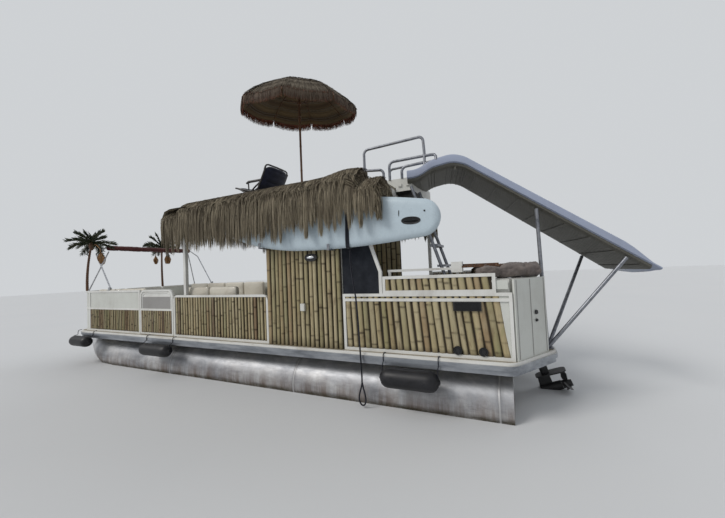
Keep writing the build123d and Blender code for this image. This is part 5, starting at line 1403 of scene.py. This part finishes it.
ties = Shape()
for t, grow in ((THIN_TIE, 0.86), (FULL_TIE, 1.0)):
    path = [START + ALONG * ROLL_LENGTH * t + oval(0.088, 0.063, a) * grow for a in turns(24, True)]
    ties.tube(path, 0.005, 6, cap=False)
ties.make("cover_ties", "canvas", slot="cover_canvas")
# Painted shadow: a dark disc in the roll's open end
hollow = Shape()
mouth = [oval(0.052, 0.036, a) for a in turns(20)]
hollow.rings([[START - ALONG * d + q for q in mouth] for d in (-0.02, 0.003)])
hollow.make("cover_hollow", "shadow_board", slot="cover_canvas")
plank = Shape()
for z0, z1, half, t0, t1 in ((1.774, 1.795, 0.052, -0.13, 0.30), (1.7952, 1.812, 0.04, -0.10, 0.26)):
    section = ((-half, z0), (half, z0), (half, z1), (-half, z1))
    middles = [START + ALONG * t for t in (t0, t1)]
    plank.rings([[Vector((c.x, c.y, z)) + ACROSS * w for w, z in section] for c in middles])
plank.make("plank", "dark_wood", slot="dark_wood")

# Rolled sunshade in its boot
boot = Shape()
SHADE_HALF = 0.899
TIE_PLACES = (0.12, 0.37, 0.63, 0.88)
rings = []
centre = pt(7500, 0, 2450)
for i in range(121):
    t = i / 120
    y = -SHADE_HALF + 2 * SHADE_HALF * t
    ring = []
    tie = sum(math.exp(-(((t - m) / 0.008) ** 2)) for m in TIE_PLACES)
    taper = min(1, (min(t, 1 - t) / 0.02 + 0.25) ** 0.5)
    sag = 0.004 * math.sin(math.pi * t)
    for a in turns(24):
        c, s = math.cos(a), math.sin(a)
        crease = 0.10 * noise.noise(Vector((t * 30, c * 1.5, s * 1.5)))
        radius = 0.0535 * (0.93 + crease - 0.13 * min(tie, 1)) * taper
        ring.append(centre + Vector((radius * c, y, radius * s - sag)))
    rings.append(ring)
boot.rings(rings)
sleeve = boot.make(
    "sunshade_sleeve", "boot_cloth", "sunshade", replaces=("shade_boot",), slot="boot_fabric", sharp=0,
)

# Fenders: long black floats hung by a line at each end
floats = Shape()
RUB_FACE, RUB_FOOT = 1.2203, 724
lines = Shape()
# Half a float: the place along it and the share of its radius there
FLOAT_HALF = [
    (-1, 0.18), (-0.985, 0.24), (-0.955, 0.26), (-0.935, 0.5), (-0.88, 0.76), (-0.8, 0.92), (-0.7, 0.985),
    (-0.6, 1.0), (-0.3, 0.99),
]
float_line = FLOAT_HALF + [(0, 0.985)] + [(-u, k) for u, k in reversed(FLOAT_HALF)]
for station, length, radius, height in ((1250, 640, 105, 650), (5375, 700, 95, 680), (7560, 560, 95, 700)):
    drop = max(RUB_FOOT - height, 0)
    y = RUB_FACE + math.sqrt(radius**2 - drop**2) / 1000
    r = radius / 1000
    z = height / 1000
    half = length / 2000
    for sign in (1, -1):
        rings = []
        for u, k in float_line:
            middle = Vector((at(station) + u * half, sign * y, z))
            rim_line = [Vector((0, sign * math.cos(a), math.sin(a))) for a in turns(28)]
            rings.append([middle + q * r * k for q in rim_line])
        floats.rings(rings)
        for u in (-0.93, 0.93):
            x = at(station) + u * half
            route = (
                (y, z + r * 0.3), (y - 0.01, z + r * 0.9), (1.2405, 0.80), (1.2405, 0.83), (1.232, 0.868),
                (1.205, 0.8795), (1.178, 0.8790),
            )
            lines.tube([Vector((x, sign * out, up_to)) for out, up_to in route], 0.005, 8)
            for turn in (-0.006, 0.006):
                knot = ((x + turn, sign * 1.195, 0.8785), (x + turn * 2, sign * 1.180, 0.8785))
                lines.tube([Vector(place) for place in knot], 0.004, 6)
floats.make("fender_floats", "fender_rubber", replaces=("fenders",), slot="fender_black", sharp=0)
lines.make("fender_lines", "webbing", slot="line_navy")

# Palms at the bow: ringed trunk, spiky drooping fronds, and dry ones that hang below
trunks = Shape()
fronds = Shape()
dry = Shape()
# Each one's side, seed, bend, and the bearing and reach of its dry fronds
PALM_STATION = 7837
PALM_FOOT, TRUNK_LENGTH = 1.6166, 0.9
PORT_LIMIT = 1.46
FRONDS = 17
for y, seed, bend, hung in (
    (1.075, 3, 0.17, ((178, 0.34), (-65, 0.26))), (-0.426, 8, 0.0, ((0, 0.24), (180, 0.18), (-75, 0.2))),
):
    pick = random.Random(seed)
    path, radii = [], []
    for i in range(45):
        t = i / 44
        x = at(PALM_STATION) - bend * t**1.7
        path.append(Vector((x, y + 0.010 * math.sin(math.pi * t), PALM_FOOT + TRUNK_LENGTH * t)))
        radii.append((0.0258 - 0.0078 * t) * (1.0 if i % 2 else 0.88))
    trunks.tube(path, radii, 12)
    top = path[-1]
    shaggy = [top + above(z) for z in (-0.11, -0.07, -0.02, 0.03, 0.055)]
    trunks.tube(shaggy, [0.022, 0.038, 0.044, 0.032, 0.012], 12)
    heart = top + above(0.04)
    for i in range(FRONDS):
        angle = 2 * math.pi * (i + 0.5 * pick.random()) / FRONDS
        rise = math.radians((-22, 26, 0, 52, 12, 68, -10, 38)[i % 8] + pick.uniform(-6, 6))
        reach = pick.uniform(0.31, 0.43)
        flat = Vector((math.cos(angle), math.sin(angle), 0))
        if y + flat.y * reach * math.cos(rise) > PORT_LIMIT:
            reach = (PORT_LIMIT - y) / (flat.y * math.cos(rise))
        side = Vector((-math.sin(angle), math.cos(angle), 0))
        ahead = flat * math.cos(rise) + above(math.sin(rise))
        rib = [heart + ahead * reach * t - above(0.10 * t**2.5) for t in [k / 12 for k in range(13)]]
        fronds.tube(rib, [0.008 * (1 - 0.8 * k / 12) + 0.001 for k in range(13)], 6)
        for k in range(1, 12):
            t = k / 12
            for way in (-1, 1):
                for more in (0, 0.33, 0.66):
                    base = rib[k].lerp(rib[k + 1], more)
                    leaf = 0.125 * math.sin(math.pi * (0.14 + 0.72 * t)) * pick.uniform(0.75, 1.15)
                    lift_by = pick.uniform(-0.62, 0.34)
                    tip = base + side * way * leaf * 0.42 + ahead * leaf * 0.7 + above(leaf * lift_by)
                    mid = base.lerp(tip, 0.5) + above(leaf * 0.06)
                    if tip.y > PORT_LIMIT + 0.04:
                        continue
                    leaf_side = side.cross(ahead) + side * way * 0.6
                    wisp(fronds, [base, mid, tip], leaf_side, 0.021, pick.random(), 3)
    for degrees, out in hung:
        away = Vector((math.cos(math.radians(degrees)), math.sin(math.radians(degrees)), 0))
        hang = top + away * out + above(-0.17)
        stem = [top, top + away * out * 0.55 + above(-0.02), top + away * out * 0.95 + above(-0.10), hang]
        dry.tube(stem, [0.008, 0.007, 0.006, 0.008], 6)
        long = pick.uniform(0.18, 0.22)
        for k in range(110):
            turn = pick.uniform(0, 2 * math.pi)
            fan = Vector((math.cos(turn), math.sin(turn), 0)) * pick.uniform(0.4, 1.0)
            belly = hang + fan * 0.056 + above(-long * pick.uniform(0.4, 0.55))
            tip = hang + fan * 0.034 + above(-long * pick.uniform(0.8, 1.05))
            edge_side = Vector((-math.sin(turn), math.cos(turn), 0))
            wisp(dry, [hang, belly, tip], edge_side, 0.020, pick.random(), 4, pick.uniform(-0.5, 0.5))
        rings = []
        for k in range(9):
            t = k / 8 * math.pi
            wide = math.sin(t) * 0.04
            z = -long * 0.5 + math.cos(t) * long * 0.42
            rings.append([hang + Vector((wide * math.cos(a), wide * math.sin(a), z)) for a in turns(12)])
        dry.rings(rings)
trunks.make("palm_trunks", "dark_wood", replaces=("palms",), slot="palm_green")
fronds.make("palm_fronds", "frond", smooth=False, slot="palm_green")
dry.make("palm_dry_fronds", "husk", slot="palm_green")

# Small fittings
louvres = Shape()
for i in range(7):
    z = 1.352 + i * 0.012
    louvres.tube([pt(532, 1168, z * 1000), pt(778, 1168, z * 1000)], 0.0042, 6)
louvres.make("vent_louvres", "black_gloss", slot="dark_plastic")
ports = Shape()
for station in (766, 522):
    for r, wide in ((0.040, 0.005), (0.024, 0.003)):
        centre = pt(station, 1167.5, 948)
        ring = [centre + Vector((r * math.cos(a), 0, r * math.sin(a))) for a in turns(32, True)]
        ports.tube(ring, wide, 8, cap=False)
ports.make("port_rings", "black_gloss", slot="dark_plastic")
lamp = Shape()
centre = pt(2462, 1212, 1976)
outline = [Vector((0.052 * math.cos(a), 0, 0.015 * math.sin(a))) for a in turns(28)]
layers = ((1, 0), (0.94, 0.005), (0.6, 0.008))
lamp.rings([[centre + q * k + Vector((0, out, 0)) for q in outline] for k, out in layers])
lamp.make("lamp_lenses", "lamp_glass", slot="dark_plastic")

# Latches and seams on the slanted stern corners
latch = Shape()
seams = Shape()
for sign in (1, -1):
    a, b = Vector((at(220), sign * 1.145, 0)), Vector((at(-71), sign * 0.643, 0))
    along = (b - a).normalized()
    face = Vector((along.y, -along.x, 0))
    if face.x > 0:
        face = -face
    c = a.lerp(b, 0.62) + face * 0.006
    for z, size in ((1.30, 0.024), (1.22, 0.016)):
        latch.tube([c + above(z), c + face * 0.012 + above(z)], [size, size * 0.8], 14)
    for share in (0.06, 0.48, 0.94):
        q = a.lerp(b, share) + face * 0.002
        seams.tube([q + above(0.885), q + above(1.635)], 0.0035, 8)
latch.make("corner_latches", "black_matt", slot="dark_plastic")
seams.make("corner_seams", "grey_vinyl", slot="pale_panel")

# A small white box on the cabin's port side
case = Shape()
case.box((at(2611) - 0.0315, 1.181, 1.3175), (at(2611) + 0.0315, 1.2125, 1.4105), 0.004)
case.make("cabin_case", "panel_white", slot="pale_panel")

# The free ends of the handrails, bent down on to the slide's rims
bends = Shape()
RAIL_TUBE = 0.017
for route in (
    ((1110, 720, 3190), (1110, 722, 3100), (1112, 740, 3000)),
    ((1010, 720, 3125), (990, 722, 3120), (975, 728, 3100), (970, 734, 3050)),
    ((1120, 720, 3052), (1100, 722, 3048), (1088, 728, 3030), (1084, 734, 3000)),
    ((1110, -240, 3190), (1110, -236, 3140), (1112, -190, 3095), (1116, -120, 3085)),
    ((1010, -240, 3125), (990, -236, 3122), (975, -210, 3112), (972, -150, 3105)),
    ((1120, -240, 3052), (1100, -238, 3050), (1090, -200, 3050), (1092, -120, 3052)),
):
    bends.tube([pt(*place) for place in route], RAIL_TUBE, 12)
bends.make("rail_bends", "grey_tube", slot="bright_tube")

# Finished materials on the CAD pieces that stay
dress_table = {
    "aluminium": ("pontoon_port", "pontoon_starboard", "cross_members", "motor_pod"),
    "deck_edge": ("rub_rail",),
    "deck_board": ("deck", "upper_deck"),
    "white_paint": ("fences", "bow_gate", "side_gate", "stern_fence", "roof_posts", "roof_frame", "aft_rail"),
    "pale_vinyl": ("fore_panels", "stern_corners"),
    "panel_white": (
        "stern_lockers", "slide_platform", "bench_bases", "helm_console", "cabin_walls", "cabin_door",
    ),
    "black_matt": (
        "clamp_bracket", "swivel_bracket", "outboard_leg", "propeller", "side_fittings", "steering_wheel",
    ),
    "black_gloss": ("outboard_cowl",),
    "bright_tube": ("shade_frame", "shade_mounts", "chair_pedestal"),
    "grey_tube": ("slide_struts", "handrails", "ladder", "board_brackets"),
    "dark_wood": ("umbrella_pole",),
    "cooler": ("cool_box", "cool_box_lid"),
    "mesh_cloth": ("mesh_screen",),
}
for look, members in dress_table.items():
    for member in members:
        dress(member, look)


# Floor at the waterline, pale surroundings and soft light
floor_mesh = bpy.data.meshes.new("floor")
corners = [(x * FLOOR_REACH, y * FLOOR_REACH, WATERLINE) for x, y in ((-1, -1), (1, -1), (1, 1), (-1, 1))]
floor_mesh.from_pydata(corners, [], [(0, 1, 2, 3)])
floor = bpy.data.objects.new("floor", floor_mesh)
scene.collection.objects.link(floor)
floor_look = Look("floor_paint", (206, 208, 210), 0.75)
floor_look.colour(floor_look.mix(floor_look.noise(0.4, detail=3), (204, 206, 208), (209, 210, 211)))
floor_mesh.materials.append(floor_look.material)

world = bpy.data.worlds.new("studio")
scene.world = world
world.use_nodes = True
tree = world.node_tree
output = tree.nodes["World Output"]
light = tree.nodes["Background"]
light.inputs["Color"].default_value = (0.93, 0.96, 1.0, 1)
light.inputs["Strength"].default_value = 0.5
pale = tree.nodes.new("ShaderNodeBackground")
pale.inputs["Color"].default_value = (0.62, 0.64, 0.66, 1)
pale.inputs["Strength"].default_value = 1.0
paths = tree.nodes.new("ShaderNodeLightPath")
either = tree.nodes.new("ShaderNodeMath")
either.operation = "MAXIMUM"
mixer = tree.nodes.new("ShaderNodeMixShader")
tree.links.new(paths.outputs["Is Camera Ray"], either.inputs[0])
tree.links.new(paths.outputs["Is Transmission Ray"], either.inputs[1])
tree.links.new(either.outputs[0], mixer.inputs[0])
tree.links.new(light.outputs[0], mixer.inputs[1])
tree.links.new(pale.outputs[0], mixer.inputs[2])
tree.links.new(mixer.outputs[0], output.inputs["Surface"])


def sun(name, toward, strength, angle, colour):
    """A soft distant light that comes from one direction."""
    data = bpy.data.lights.new(name, "SUN")
    data.energy = strength
    data.angle = math.radians(angle)
    data.color = colour
    made = bpy.data.objects.new(name, data)
    made.matrix_world = (-Vector(toward)).to_track_quat("-Z", "Y").to_matrix().to_4x4()
    scene.collection.objects.link(made)


sun("key", (0.62, 0.72, 0.85), 1.55, 22, (1, 0.97, 0.93))
sun("rear", (-0.5, -0.8, 0.7), 0.45, 40, (0.94, 0.97, 1))
